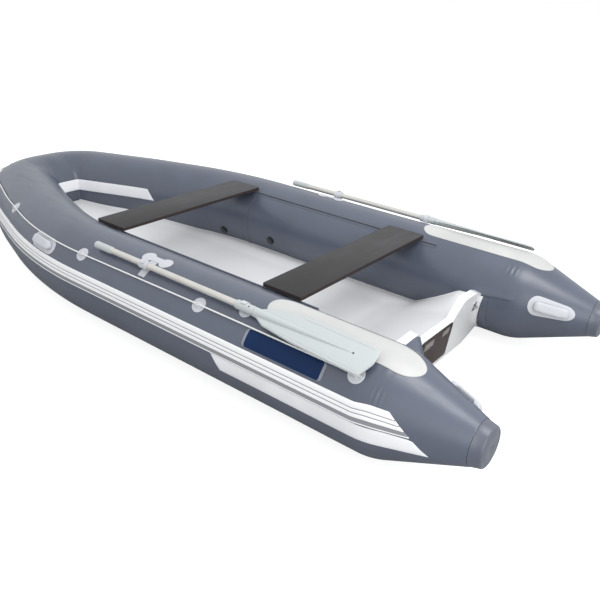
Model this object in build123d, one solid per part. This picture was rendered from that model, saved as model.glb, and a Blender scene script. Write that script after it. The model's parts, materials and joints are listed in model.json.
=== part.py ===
from build123d import *
import math
import os

# Small rigid-hull inflatable boat with two benches and two stowed oars.
# Millimetres. +X bow, +Y port, +Z up. Origin: waterline, centre plane, mid-length.

# Collar: one inflated tube, U-shaped in plan, with tapered stern ends
TUBE_R = 215
TUBE_Y = 614
TUBE_Z = 235
SHOULDER = (521, TUBE_Y, 2100)
CHEEK = (1110, 420, 2000)
NOSE_CORNER = (1625, 210)
NOSE_INSIDE = 20
CONE_X = -1400
CAP_X = -1785
CAP_LENGTH = 45
CAP_R = 88
CAP_END_R = 79
CAP_EDGE = 10
# The rounded shoulder of the stern cone: x, share of the tube's radius
SHOULDER_STATIONS = [(-1455, 0.974), (-1510, 0.899)]
BAFFLE_X = 215

# Gap between glued pieces and the tube's fabric
GLUE = 0.3
# Reach of cutting stamps beyond a surface, and of cutting boxes beyond the boat
STAMP = 40
BEYOND = 3000

# Hull stations: x, keel drop, chine inset, chine drop, sheer inset, sheer drop.
# Insets are from the tube's centreline and drops from its axis, as shares of its radius.
HULL_STATIONS = [
    (-1290, 1.67, 0.50, 0.80, 0.62, -0.19),
    (-1206, 1.67, 0.50, 0.80, 0.62, -0.19),
    (-948, 1.69, 0.50, 0.80, 0.62, 0.49),
    (-100, 1.70, 0.50, 0.80, 0.62, 0.49),
    (600, 1.61, 0.50, 0.79, 0.62, 0.49),
    (1100, 1.36, 0.52, 0.75, 0.62, 0.35),
    (1450, 0.99, 0.66, 0.62, 0.62, 0.20),
    (1570, 0.73, 0.80, 0.55, 0.76, 0.20),
]
KEEL_FLAT = 0.04
RAIL_AT = 0.52
RAIL_W = 0.035

# Cockpit stations: x, floor z, floor half-width, ledge half-width, ledge z, rim z
COCKPIT_STATIONS = [
    (-1290, 226, 188, 400, 268, 270),
    (-1206, 202, 232, 398, 262, 270),
    (-948, 112, 300, 436, 98, 99),
    (-840, 85, 340, 436, 97, 99),
    (640, 85, 315, 398, 97, 100),
    (1100, 140, 178, 208, 156, 160),
    (1430, 180, 96, 118, 185, 186),
    (1560, 180, 96, 118, 185, 186),
]
COCKPIT_RIM_Y = 520
COCKPIT_TOP = 600
LINER_T = 6

# Transom
TRANSOM_T = 38
# Forward face: x at the height of the lowered edge, and how far it leans aft in a unit of height
TRANSOM_X = -1267
TRANSOM_RAKE = 0.17
# Half-width and height of the lowered top edge, and where the top meets the tube
CUT = (190, 231)
WING_TOP = (424, 274)
PAD_T = 6
PAD_TOP = (137, 228)
PAD_LOW = (170, 32)
DRAIN_R = 12
DRAIN_Z = -62
FLANGE_L = 14
FLANGE_T = 4
FLANGE_ANGLES = (171, 236)
# Distance from the tube and height of the towing eyes
EYE_AT = (39, 226)
EYE_PLATE = (34, 50)
EYE_PLATE_T = 4
EYE_R = 8
EYE_WIRE = 7

# Rub strake and fabric bands on the tube, angles from outboard, degrees up
STRAKE_LOW = 5
STRAKE_T = 4
STRAKE_RIB = 3
STRAKE_BANDS = [(24, STRAKE_LOW, 0), (24, 18.4, STRAKE_RIB), (17.6, 14.6, STRAKE_RIB),
                (13.6, 10.1, STRAKE_RIB), (6.2, STRAKE_LOW, STRAKE_RIB)]
# The strake's rise on the stern cone: x, turn of its low edge, turn of its top edge
STRAKE_RISE = [(CONE_X, 0, 0), (-1455, 1, 3), (-1510, 1, 3.8), (-1640, 0.5, 4)]
STRAKE_END = [(-1516, 95), (-1611, 10)]
STRAKE_TRIM = (-20, 60)
PANEL_T = 1
PANEL_ANGLES = (-28, 20)
# Outline of the tapered side panel seen from the side: x, height from the tube's axis
PANEL_OUTLINE = [(-728, 14), (-775, -47), (-1400, -47), (-1560, -49), (-1669, -50), (-1617, 3), (-1600, 8),
                 (-1510, 15), (CONE_X, 14)]
PANEL_TIP = min(x for x, height in PANEL_OUTLINE)
BOW_BAND = (158, 176)
BOW_BAND_X = 1040
TOP_PAD_X = (-873, -1539)
TOP_PAD_W = 150
TOP_PAD_ANGLE = 84
TOP_PAD_SPREAD = 46
PLATE_X = (-1240, -880)
PLATE_ANGLES = (27, 46)
SKIN_T = 1.2

# Benches
BENCH_W = 208
BENCH_T = 15
BENCH_END = 14
BENCH_CORNER = 6
BENCH_X = {"rear": -816, "front": 306}
TRACK_ANGLE = 124
TRACK_TAPE = 9
TRACK_BEAD_R = 4
TRACK_X = (-1000, 430)
SHOE_GAP = 0.3
SHOE_ROOF = 8
SHOE_SIDE = 7
SHOE_WALL = 3
SHOE_LIP = 8
SHOE_L = 60

# Oars
OAR_ANGLE = 62
OAR_LIFT = 26
SHAFT_R = 14
SHAFT_WALL = 1.5
GRIP_X = (115, 0)
GRIP_END_R = 17
GRIP_EDGE = 5
NECK_X = (-775, -868)
NECK_R = 19
BLADE_TIP_X = -1415
BLADE_W = 146
BLADE_ROOT_W = 58
BLADE_ROOT_L = 60
BLADE_FLARE_L = 150
BLADE_CORNER = 14
BLADE_CUT = 40
BLADE_T = 7
ROWLOCK_X = -225
POST_R = 6
POST_GAP = 0.05
POST_CAP_R = 11
POST_CAP_T = 4
SLEEVE_R = 20
SLEEVE_L = 46
# Two-lobed pad under the oar: angle, half the span and radius of its lobes, web
LOBE_ANGLE = 79
LOBE_SPAN = 55
LOBE_R = 33
WEB_W = 34
ARM = (40, 90)
PAD_THICK = 3
CLIP_X = -815
CLIP_L = 24
CLIP_WALL = 4
CLIP_STEM_W = 12
CLIP_PAD_R = 30
CLIP_GAP = 0.5

# Rope and its patches, evenly spaced along the tube from the aftmost one
PATCH_FIRST_X = -1370
PATCH_STEP = 775
PATCH_COUNT = 5
PATCH_ANGLE = 45
PATCH_R = 27
PATCH_T = 2
BOSS_R = 11
BOSS_H = 14
ROPE_R = 4
ROPE_LIFT = 7.5
ROPE_GAP = 0.3
ROPE_END = 25

# Carry handles: x, angle; then the pad and the moulded grip
HANDLE_BOW = (471, 38)
HANDLE_STERN = (-1636, 160)
HANDLE_L = 200
HANDLE_W = 82
HANDLE_T = 3
HANDLE_SEAT = 3.6
GRIP_L = 140
GRIP_W = 26
GRIP_H = 24
GRIP_CORNER = 8
GRIP_ROOM = 12
GRIP_FOOT = 22

# Air valves: x, angle
VALVES = [(423, 204), (21, 195)]
VALVE_R = 24
VALVE_T = 5
VALVE_CAP_R = 19
VALVE_CAP_T = 4

# Towing ring at the bow, held by a strap loop on its patch
RING_ANGLE = -22
RING_R = 12
RING_WIRE = 6
RING_PATCH_R = 45
STRAP_W = 14
STRAP_T = 1.6
STRAP_GAP = 0.4


def collar_points(x_start, x_end):
    """Corners of the tube's centreline and their arcs, port stern to starboard."""
    port = [SHOULDER, CHEEK, NOSE_CORNER + (TUBE_R + NOSE_INSIDE,)]
    corners = port + [(x, -y, r) for x, y, r in reversed(port)]
    points = [(x_start, TUBE_Y)] + [(x, y) for x, y, r in corners] + [(x_end, -TUBE_Y)]
    return [(x, y, TUBE_Z) for x, y in points], [r for x, y, r in corners]


POINTS, RADII = collar_points(CONE_X, CONE_X)
COLLAR = FilletPolyline(*POINTS, radius=RADII)


def along(section):
    """Sweep a section drawn in (outboard, up) about the tube's axis round the collar."""
    start = Plane(origin=POINTS[0], x_dir=(0, 1, 0), z_dir=(1, 0, 0))
    return sweep(start * section, path=COLLAR)


def sector(r_in, r_out, low, high):
    """Part of a ring about the tube's axis between two angles."""
    a = [math.radians(v) for v in (low, (low + high) / 2, high)]
    inner = [(r_in * math.cos(v), r_in * math.sin(v)) for v in a]
    outer = [(r_out * math.cos(v), r_out * math.sin(v)) for v in a]
    edges = ThreePointArc(*inner) + Line(inner[2], outer[2]) + ThreePointArc(*outer)
    return make_face(edges + Line(outer[0], inner[0]))


def box_between(low, high):
    """A box from its lowest to its highest corner."""
    size = [h - l for l, h in zip(low, high)]
    middle = [(h + l) / 2 for l, h in zip(low, high)]
    return Pos(*middle) * Box(*size)


def slab(x0, x1, y0=-BEYOND):
    """Everything between two stations, or only to port of a line."""
    return box_between((min(x0, x1), y0, -BEYOND), (max(x0, x1), BEYOND, BEYOND))


def length_at(x):
    """Length along the port side of the collar where it reaches x."""
    low = 0
    high = COLLAR.length / 2
    for _ in range(40):
        mid = (low + high) / 2
        if COLLAR.position_at(mid, position_mode=PositionMode.LENGTH).X < x:
            low = mid
        else:
            high = mid
    return low


def tube_plane(s):
    """Cross-section frame of the port tube at a length: x outboard, z forward."""
    centre = COLLAR.position_at(s, position_mode=PositionMode.LENGTH)
    ahead = COLLAR.tangent_at(s, position_mode=PositionMode.LENGTH)
    return Plane(origin=centre, x_dir=Vector(0, 0, 1).cross(ahead), z_dir=ahead)


def on_surface(plane, radius, angle, slope=0):
    """Plane on a tube or cone: x forward along it, z out of the fabric."""
    turn = math.radians(angle)
    radial = plane.x_dir * math.cos(turn) + plane.y_dir * math.sin(turn)
    normal = radial * math.cos(slope) - plane.z_dir * math.sin(slope)
    ahead = plane.z_dir * math.cos(slope) + radial * math.sin(slope)
    return Plane(origin=plane.origin + radial * radius, x_dir=ahead, z_dir=normal)


def on_tube(s, angle, lift=0):
    """Plane on the port tube at a length and an angle."""
    return on_surface(tube_plane(s), TUBE_R + lift, angle)


def local_run(s, reach, section):
    """Sweep a section along the port tube for a short way about one place."""
    middle = COLLAR.length
    path = COLLAR.trim((s - reach) / middle, (s + reach) / middle)
    return sweep(tube_plane(s - reach) * section, path=path)


STERN = [(BEYOND, TUBE_R), (CONE_X, TUBE_R)] + [(x, TUBE_R * share) for x, share in SHOULDER_STATIONS]
STERN += [(CAP_X, CAP_R)]
SLOPES = [math.atan((r0 - r1) / (x0 - x1)) for (x0, r0), (x1, r1) in zip(STERN, STERN[1:])]
CONE_SLOPE = SLOPES[-1]


def stern_corners(lift):
    """Corners of the tube's and stern cone's generator, moved off the skin, forward first."""
    moved = []
    for (x, r), ahead, behind in zip(STERN, SLOPES[:1] + SLOPES, SLOPES + SLOPES[-1:]):
        reach = lift / math.cos((behind - ahead) / 2)
        lean = (ahead + behind) / 2
        moved.append((x - reach * math.sin(lean), r + reach * math.cos(lean)))
    return moved


def stern_radius(x, lift=0):
    """Radius of the stern cone's skin, or of the tube's, at a station."""
    corners = stern_corners(lift)
    for (x0, r0), (x1, r1) in zip(corners, corners[1:]):
        if x >= x1 or x1 == corners[-1][0]:
            return r0 + (r1 - r0) * (x - x0) / (x1 - x0)


def stern_profile(x0, x1, lift):
    """Generator of the tube and its stern cone between two stations, aft first."""
    between = [corner for corner in reversed(stern_corners(lift)) if x1 < corner[0] < x0]
    return [(x1, stern_radius(x1, lift))] + between + [(x0, stern_radius(x0, lift))]


def stern_band(x0, x1, thickness, low, high, lift=GLUE):
    """Skin piece turned about the port tube's axis, over the tube and its stern cone."""
    inner = stern_profile(x0, x1, lift)
    outer = stern_profile(x0, x1, lift + thickness)
    turn = math.radians(low)
    plane = Plane(origin=(0, TUBE_Y, TUBE_Z), x_dir=(1, 0, 0), z_dir=(0, -math.sin(turn), math.cos(turn)))
    face = plane * make_face(Polyline(*inner, *reversed(outer), close=True))
    return revolve(face, axis=Axis((0, TUBE_Y, TUBE_Z), (1, 0, 0)), revolution_arc=high - low)


def other(piece):
    """The same piece on the starboard side."""
    return mirror(piece, about=Plane.XZ)


def pair(piece):
    """A piece and its mirror image, as one node."""
    return Compound(children=[piece, other(piece)])


def athwart(x, points):
    """Face across the boat at a station, from the corners of its port half."""
    outline = points + [(-y, z) for y, z in reversed(points) if y > 0]
    plane = Plane(origin=(x, 0, 0), x_dir=(0, 1, 0), z_dir=(1, 0, 0))
    return plane * make_face(Polyline(*outline, close=True))


def half_loft(stations, outline):
    """Ruled loft through mirrored section polygons."""
    faces = [athwart(station[0], outline(*station)) for station in stations]
    return loft(faces, ruled=True)


def collar_solids():
    """The three air chambers of the tube and the tapered stern ends."""
    tube = along(Circle(TUBE_R))
    port = tube & slab(CONE_X - 1, BAFFLE_X, y0=0)
    bow = tube & slab(BAFFLE_X, BEYOND)
    profile = make_face(Polyline((CAP_X, 0), *stern_profile(CONE_X, CAP_X, 0), (CONE_X, 0), close=True))
    cone = Pos(0, TUBE_Y, TUBE_Z) * revolve(profile, axis=Axis.X)
    end_x = CAP_X - CAP_LENGTH
    side = [(CAP_X, 0), (CAP_X, CAP_R), (end_x + CAP_EDGE, CAP_END_R), (end_x, CAP_END_R - CAP_EDGE), (end_x, 0)]
    cap = Pos(0, TUBE_Y, TUBE_Z) * revolve(make_face(Polyline(*side, close=True)), axis=Axis.X)
    return port, bow, cone, cap


def hull_section(x, keel, chine_inset, chine_drop, sheer_inset, sheer_drop):
    """Half of a hull section: keel flat, spray rail, chine and sheer."""
    centre = COLLAR.position_at(length_at(x), position_mode=PositionMode.LENGTH).Y
    keel_z = TUBE_Z - keel * TUBE_R
    chine_y = centre - chine_inset * TUBE_R
    chine_z = TUBE_Z - chine_drop * TUBE_R

    def bottom(share):
        return keel_z + (chine_z - keel_z) * (share - KEEL_FLAT) / (1 - KEEL_FLAT)

    rail = RAIL_AT - RAIL_W
    points = [(0, keel_z), (KEEL_FLAT * chine_y, keel_z), (rail * chine_y, bottom(rail)),
              (RAIL_AT * chine_y, bottom(rail)), (RAIL_AT * chine_y, bottom(RAIL_AT)), (chine_y, chine_z)]
    return points + [(centre - sheer_inset * TUBE_R, TUBE_Z - sheer_drop * TUBE_R)]


LEAN = math.atan(TRANSOM_RAKE)
# Forward face of the transom: x to starboard, y up the board, z aft through it
TRANSOM = Plane(origin=(TRANSOM_X, 0, CUT[1]), x_dir=(0, -1, 0), z_dir=(-math.cos(LEAN), 0, -math.sin(LEAN)))


def leaning(low, high):
    """Everything between two distances aft of the transom's forward face."""
    return TRANSOM.offset(low) * extrude(Rectangle(BEYOND, BEYOND), amount=high - low)


def up_board(y, z, depth):
    """Point of the transom's plane, in its own axes, from the boat's half-breadth and height at a depth."""
    return y, (z - CUT[1] + depth * math.sin(LEAN)) / math.cos(LEAN)


def cockpit_section(x, floor_z, floor_y, ledge_y, ledge_z, rim_z):
    """Half of a section of the open space over the floor, its ledge and its rim."""
    return [(floor_y, floor_z), (ledge_y, ledge_z), (COCKPIT_RIM_Y, rim_z), (COCKPIT_RIM_Y, COCKPIT_TOP)]


def hull_solids(collar_void):
    """V-bottomed hull and its inner liner, cut to the tube."""
    body = half_loft(HULL_STATIONS, hull_section) - collar_void - leaning(0, BEYOND)
    space = half_loft(COCKPIT_STATIONS, cockpit_section)
    below = Pos(0, 0, -LINER_T) * space
    return body - below, (body & below) - space


def transom_solids(collar_void):
    """Raked, low-cut transom with its motor pad, side flanges and towing eyes."""
    section = hull_section(*HULL_STATIONS[0])
    outline = section[:2] + [section[-2], section[-1], WING_TOP, CUT]
    block = extrude(athwart(TRANSOM_X + TRANSOM_T * 3, outline), amount=-TRANSOM_T * 6)
    drain = TRANSOM * Pos(*up_board(0, DRAIN_Z, 0)) * Cylinder(DRAIN_R, TRANSOM_T * 3)
    transom = (block & leaning(0, TRANSOM_T)) - collar_void - drain
    corners = [up_board(*corner, TRANSOM_T) for corner in (PAD_TOP, PAD_LOW)]
    corners += [(-y, v) for y, v in reversed(corners)]
    pad = extrude(TRANSOM.offset(TRANSOM_T) * make_face(Polyline(*corners, close=True)), amount=PAD_T)
    skin = stern_band(TRANSOM_X, TRANSOM_X - TRANSOM_T * 3, FLANGE_T, *FLANGE_ANGLES)
    flange = skin & leaning(TRANSOM_T, TRANSOM_T + FLANGE_L)
    seat = TRANSOM.offset(TRANSOM_T) * Pos(*up_board(TUBE_R + EYE_AT[0] - TUBE_Y, EYE_AT[1], TRANSOM_T))
    plate = extrude(seat * RectangleRounded(*EYE_PLATE, EYE_PLATE[0] / 3), amount=EYE_PLATE_T)
    eye = Circle(EYE_R + EYE_WIRE) - Circle(EYE_R)
    loop = extrude(Rot(90, 0, 0) * eye, amount=EYE_WIRE / 2, both=True)
    loop &= Pos(0, 0, BEYOND / 2) * Box(BEYOND, BEYOND, BEYOND)
    return transom, pad, pair(flange), pair(plate + seat * Pos(0, 0, EYE_PLATE_T) * loop)


def strake_solids():
    """Ribbed rub strake round the whole tube, cut at the chamber seams."""
    base = TUBE_R + GLUE
    section = Sketch() + [sector(base, base + STRAKE_T + rib, low, high) for high, low, rib in STRAKE_BANDS]
    whole = along(section)
    port = whole & slab(CONE_X, BAFFLE_X, y0=0)
    bow = whole & slab(BAFFLE_X, BEYOND)
    tail = None
    for high, low, rib in STRAKE_BANDS:
        faces = []
        for x, low_turn, top_turn in STRAKE_RISE:
            plane = Plane(origin=(x, TUBE_Y, TUBE_Z), x_dir=(0, 1, 0), z_dir=(1, 0, 0))
            r = stern_radius(x) + GLUE
            share = [(a - STRAKE_LOW) / (STRAKE_BANDS[0][0] - STRAKE_LOW) for a in (low, high)]
            turn = [low_turn + (top_turn - low_turn) * part for part in share]
            faces.append(plane * sector(r - GLUE, r + STRAKE_T + rib, low + turn[0], high + turn[1]))
        piece = loft(faces, ruled=True)
        tail = piece if tail is None else tail + piece
    side = Plane(origin=(0, 0, TUBE_Z), x_dir=(1, 0, 0), z_dir=(0, -1, 0))
    outline = [STRAKE_END[0], STRAKE_END[1], (STRAKE_END[1][0], -TUBE_R), (CONE_X, -TUBE_R), (CONE_X, TUBE_R),
               (STRAKE_END[0][0], TUBE_R)]
    tail &= extrude(side * make_face(Polyline(*outline, close=True)), amount=-BEYOND)
    tail -= stern_band(CONE_X, STRAKE_RISE[-1][0] - STAMP, STAMP, *STRAKE_TRIM, lift=GLUE - STAMP)
    return port + tail, bow


def side_panel():
    """Tapered fabric panel under the strake, on the tube and its stern cone."""
    band = stern_band(PANEL_OUTLINE[0][0], PANEL_TIP, PANEL_T, *PANEL_ANGLES)
    side = Plane(origin=(0, TUBE_Y, TUBE_Z), x_dir=(1, 0, 0), z_dir=(0, -1, 0))
    return band & extrude(side * make_face(Polyline(*PANEL_OUTLINE, close=True)), amount=-TUBE_R * 2)


def band_solid():
    """Fabric band round the inside of the bow."""
    whole = along(sector(TUBE_R + GLUE, TUBE_R + GLUE + SKIN_T, *BOW_BAND))
    return whole & slab(BOW_BAND_X, BEYOND)


def patch(shape, s, angle, thickness, reach):
    """A flat shape glued on the tube and bent to its round."""
    stamp = extrude(on_tube(s, angle, lift=STAMP) * shape, amount=-STAMP * 2)
    spread = math.degrees(reach / TUBE_R) + 2
    base = TUBE_R + GLUE
    ring = local_run(s, reach + 2, sector(base, base + thickness, angle - spread, angle + spread))
    return stamp & ring


def top_pad():
    """Pale wear pad over the crown of the stern."""
    shape = SlotOverall(TOP_PAD_X[0] - TOP_PAD_X[1], TOP_PAD_W)
    plane = Plane(origin=(sum(TOP_PAD_X) / 2, TUBE_Y, TUBE_Z), x_dir=(0, 1, 0), z_dir=(1, 0, 0))
    stamp = extrude(on_surface(plane, 0, TOP_PAD_ANGLE) * shape, amount=TUBE_R + STAMP)
    angles = (TOP_PAD_ANGLE - TOP_PAD_SPREAD, TOP_PAD_ANGLE + TOP_PAD_SPREAD)
    return stamp & stern_band(TOP_PAD_X[0] + 1, TOP_PAD_X[1] - 1, SKIN_T, *angles)


def rope_solids():
    """Grab line on its patches, from the stern to the bow, on the port side."""
    turn = math.radians(PATCH_ANGLE)
    reach = TUBE_R + GLUE + ROPE_LIFT
    centre = Pos(reach * math.cos(turn), reach * math.sin(turn))
    first = PATCH_FIRST_X - CONE_X
    places = [first + PATCH_STEP * n for n in range(PATCH_COUNT)]
    ends = [(places[0] - ROPE_END) / COLLAR.length, (places[-1] + ROPE_END) / COLLAR.length]
    rope = sweep(tube_plane(places[0] - ROPE_END) * centre * Circle(ROPE_R), path=COLLAR.trim(*ends))
    holders = []
    for s in places:
        disc = patch(Circle(PATCH_R), s, PATCH_ANGLE, PATCH_T, PATCH_R)
        boss = extrude(on_tube(s, PATCH_ANGLE, lift=GLUE + PATCH_T / 2) * Circle(BOSS_R), amount=BOSS_H)
        groove = local_run(s, BOSS_R * 2, centre * Circle(ROPE_R + ROPE_GAP))
        holders.append(disc + boss - groove)
    return rope, holders


def handle_solids(plane, shell):
    """Pad and moulded grip of a carry handle."""
    stamp = extrude(plane * SlotOverall(HANDLE_L, HANDLE_W), amount=STAMP, both=True)
    outside = extrude(plane.offset(HANDLE_SEAT) * RectangleRounded(GRIP_L, GRIP_W, GRIP_CORNER), amount=GRIP_H)
    room = Box(GRIP_L - 2 * GRIP_FOOT, GRIP_W * 2, GRIP_ROOM * 2)
    return stamp & shell, outside - (plane.offset(HANDLE_SEAT) * room)


def all_handles():
    """Carry handles at the bow shoulders and on the inner sides of the stern cones."""
    x, angle = HANDLE_BOW
    s = length_at(x)
    base = TUBE_R + GLUE
    spread = math.degrees(HANDLE_W / 2 / TUBE_R) + 4
    shell = local_run(s, HANDLE_L / 2 + 2, sector(base, base + HANDLE_T, angle - spread, angle + spread))
    bow = handle_solids(on_tube(s, angle), shell)
    x, angle = HANDLE_STERN
    plane = Plane(origin=(x, TUBE_Y, TUBE_Z), x_dir=(0, 1, 0), z_dir=(1, 0, 0))
    spread = math.degrees(HANDLE_W / 2 / stern_radius(x - HANDLE_L / 2)) + 12
    shell = stern_band(x + HANDLE_L / 2, x - HANDLE_L / 2, HANDLE_T, angle - spread, angle + spread)
    stern = handle_solids(on_surface(plane, stern_radius(x), angle, CONE_SLOPE), shell)
    return bow, stern


def clip_solid():
    """Clip on a round pad: a half ring, open outboard, under and over the oar's neck."""
    s = CLIP_X - CONE_X
    pad = patch(Circle(CLIP_PAD_R), s, OAR_ANGLE, PATCH_T, CLIP_PAD_R)
    plane = oar_plane(CLIP_X - CLIP_L / 2)
    ring = Circle(NECK_R + CLIP_GAP + CLIP_WALL) - Circle(NECK_R + CLIP_GAP)
    ring &= Pos(-NECK_R * 2, 0) * Rectangle(NECK_R * 4, NECK_R * 4)
    stem_h = OAR_LIFT - NECK_R - CLIP_GAP - GLUE - PATCH_T / 2
    stem = Pos(-CLIP_STEM_W / 2, -OAR_LIFT + GLUE + PATCH_T / 2 + stem_h / 2) * Rectangle(CLIP_STEM_W, stem_h)
    return pad + extrude(plane * (ring + stem), amount=CLIP_L)


def valve_solid(x, angle):
    """Flange and screw cap of an air valve on the inner side of the tube."""
    plane = on_tube(length_at(x), angle, lift=GLUE)
    flange = extrude(plane * Circle(VALVE_R), amount=VALVE_T)
    return flange + extrude(plane.offset(VALVE_T) * Circle(VALVE_CAP_R), amount=VALVE_CAP_T)


def ring_solids():
    """Towing ring in the strap loop of its patch at the nose."""
    half = COLLAR.length / 2
    pad = patch(Circle(RING_PATCH_R), half, RING_ANGLE, PATCH_T, RING_PATCH_R)
    hollow = RING_WIRE / 2 + STRAP_GAP
    plane = on_tube(half, RING_ANGLE, lift=GLUE + PATCH_T + hollow)
    across = Plane(origin=plane.origin, x_dir=plane.z_dir, z_dir=plane.x_dir)
    ring = Circle(RING_R + RING_WIRE) - Circle(RING_R)
    ring = extrude(across * Pos(RING_R + RING_WIRE / 2, 0) * ring, amount=RING_WIRE / 2, both=True)
    rise = RING_R + RING_WIRE / 2 - math.sqrt((RING_R + RING_WIRE / 2) ** 2 - STRAP_W ** 2 / 4)
    top = hollow + rise
    outer = box_between((-hollow - STRAP_T, -STRAP_W / 2, -hollow - PATCH_T / 2),
                        (hollow + STRAP_T, STRAP_W / 2, top + STRAP_T))
    inner = box_between((-hollow, -STRAP_W, -hollow), (hollow, STRAP_W, top))
    return pad + plane * (outer - inner), ring


def bench_solids(x):
    """Bench board and the two shoes that ride on the tracks."""
    centre = COLLAR.position_at(length_at(x), position_mode=PositionMode.LENGTH)
    turn = math.radians(TRACK_ANGLE)
    reach = TUBE_R + GLUE + SKIN_T + TRACK_BEAD_R
    y = centre.Y + reach * math.cos(turn)
    roof = TUBE_Z + reach * math.sin(turn) + TRACK_BEAD_R + SHOE_GAP
    under = roof + SHOE_ROOF
    length = 2 * (TUBE_Y + reach * math.cos(turn) + BENCH_END)
    board = Pos(x, 0, under + BENCH_T / 2) * Box(BENCH_W, length, BENCH_T)
    board = fillet(board.edges().filter_by(Axis.Z), BENCH_CORNER)
    half = TRACK_BEAD_R + SHOE_SIDE
    top = box_between((x - SHOE_L / 2, y - half - SHOE_WALL, roof), (x + SHOE_L / 2, y + half, under))
    lip = box_between((x - SHOE_L / 2, y - half - SHOE_WALL, roof - SHOE_LIP), (x + SHOE_L / 2, y - half, roof))
    return board, pair(top + lip)


def track_solid(x0, x1):
    """Glued tape with a round bead, following the tube."""
    reach = TUBE_R + GLUE
    turn = math.radians(TRACK_ANGLE)
    tape = sector(reach, reach + SKIN_T, TRACK_ANGLE - TRACK_TAPE / 2, TRACK_ANGLE + TRACK_TAPE / 2)
    middle = reach + SKIN_T + TRACK_BEAD_R - SKIN_T / 2
    bead = Pos(middle * math.cos(turn), middle * math.sin(turn)) * Circle(TRACK_BEAD_R)
    middle = (length_at(x0) + length_at(x1)) / 2
    return local_run(middle, (length_at(x1) - length_at(x0)) / 2, tape + bead)


def oar_plane(x):
    """Cross-section frame of the stowed port oar: z forward, y out of the fabric."""
    turn = math.radians(OAR_ANGLE)
    reach = TUBE_R + OAR_LIFT
    normal = Vector(0, math.cos(turn), math.sin(turn))
    origin = Vector(x, TUBE_Y, TUBE_Z) + normal * reach
    return Plane(origin=origin, x_dir=Vector(1, 0, 0).cross(normal) * -1, z_dir=(1, 0, 0))


def oar_solids():
    """Grip, tube, neck, blade and the pivot sleeve of the port oar."""
    def run(x0, x1, r):
        return extrude(oar_plane(x1) * Circle(r), amount=x0 - x1)

    shaft = run(GRIP_X[1], NECK_X[0], SHAFT_R) - run(GRIP_X[1] + 1, NECK_X[0] - 1, SHAFT_R - SHAFT_WALL)
    grip = run(*GRIP_X, GRIP_END_R)
    grip = chamfer(grip.edges().sort_by(Axis.X)[-1:], GRIP_EDGE)
    neck = run(*NECK_X, NECK_R)
    flat = Plane(origin=oar_plane(0).origin, x_dir=(1, 0, 0), z_dir=on_tube(0, OAR_ANGLE).z_dir)
    root = NECK_X[1]
    tip = BLADE_TIP_X
    narrow = BLADE_ROOT_W / 2
    wide = BLADE_W / 2
    outline = make_face(Polyline(
        (root, narrow), (root - BLADE_ROOT_L, narrow), (root - BLADE_FLARE_L, wide), (tip + BLADE_CORNER, wide),
        (tip, wide - BLADE_CORNER), (tip, BLADE_CUT - wide), (tip + BLADE_CUT, -wide), (root - BLADE_FLARE_L, -wide),
        (root - BLADE_ROOT_L, -narrow), (root, -narrow), close=True))
    blade = extrude(flat * outline, amount=BLADE_T / 2, both=True)
    sleeve = run(ROWLOCK_X + SLEEVE_L / 2, ROWLOCK_X - SLEEVE_L / 2, SLEEVE_R) - run(
        ROWLOCK_X + SLEEVE_L, ROWLOCK_X - SLEEVE_L, SHAFT_R)
    bore = extrude(on_tube(ROWLOCK_X - CONE_X, OAR_ANGLE) * Circle(POST_R + POST_GAP), amount=OAR_LIFT * 3)
    return shaft - bore, grip, neck, blade, sleeve - bore


def rowlock_solid():
    """Two-lobed pad with an arm and the post under the oar."""
    s = ROWLOCK_X - CONE_X
    outline = Pos(LOBE_SPAN, 0) * Circle(LOBE_R) + Pos(-LOBE_SPAN, 0) * Circle(LOBE_R)
    outline += Rectangle(LOBE_SPAN * 2, WEB_W)
    stamp = extrude(on_tube(s, LOBE_ANGLE, lift=STAMP) * outline, amount=-STAMP * 2)
    stamp += extrude(on_tube(s, OAR_ANGLE, lift=STAMP) * Rectangle(*ARM), amount=-STAMP * 2)
    half = LOBE_SPAN + LOBE_R
    spread = math.degrees(half / TUBE_R)
    skin = stern_band(ROWLOCK_X + half, ROWLOCK_X - half, PAD_THICK, OAR_ANGLE - spread, LOBE_ANGLE + spread)
    post = extrude(on_tube(s, OAR_ANGLE, lift=GLUE + 1) * Circle(POST_R), amount=OAR_LIFT + SLEEVE_R)
    cap_at = on_tube(s, OAR_ANGLE, lift=OAR_LIFT + SLEEVE_R + GLUE)
    cap = extrude(cap_at * Circle(POST_CAP_R), amount=POST_CAP_T)
    return (stamp & skin) + post + cap


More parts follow.
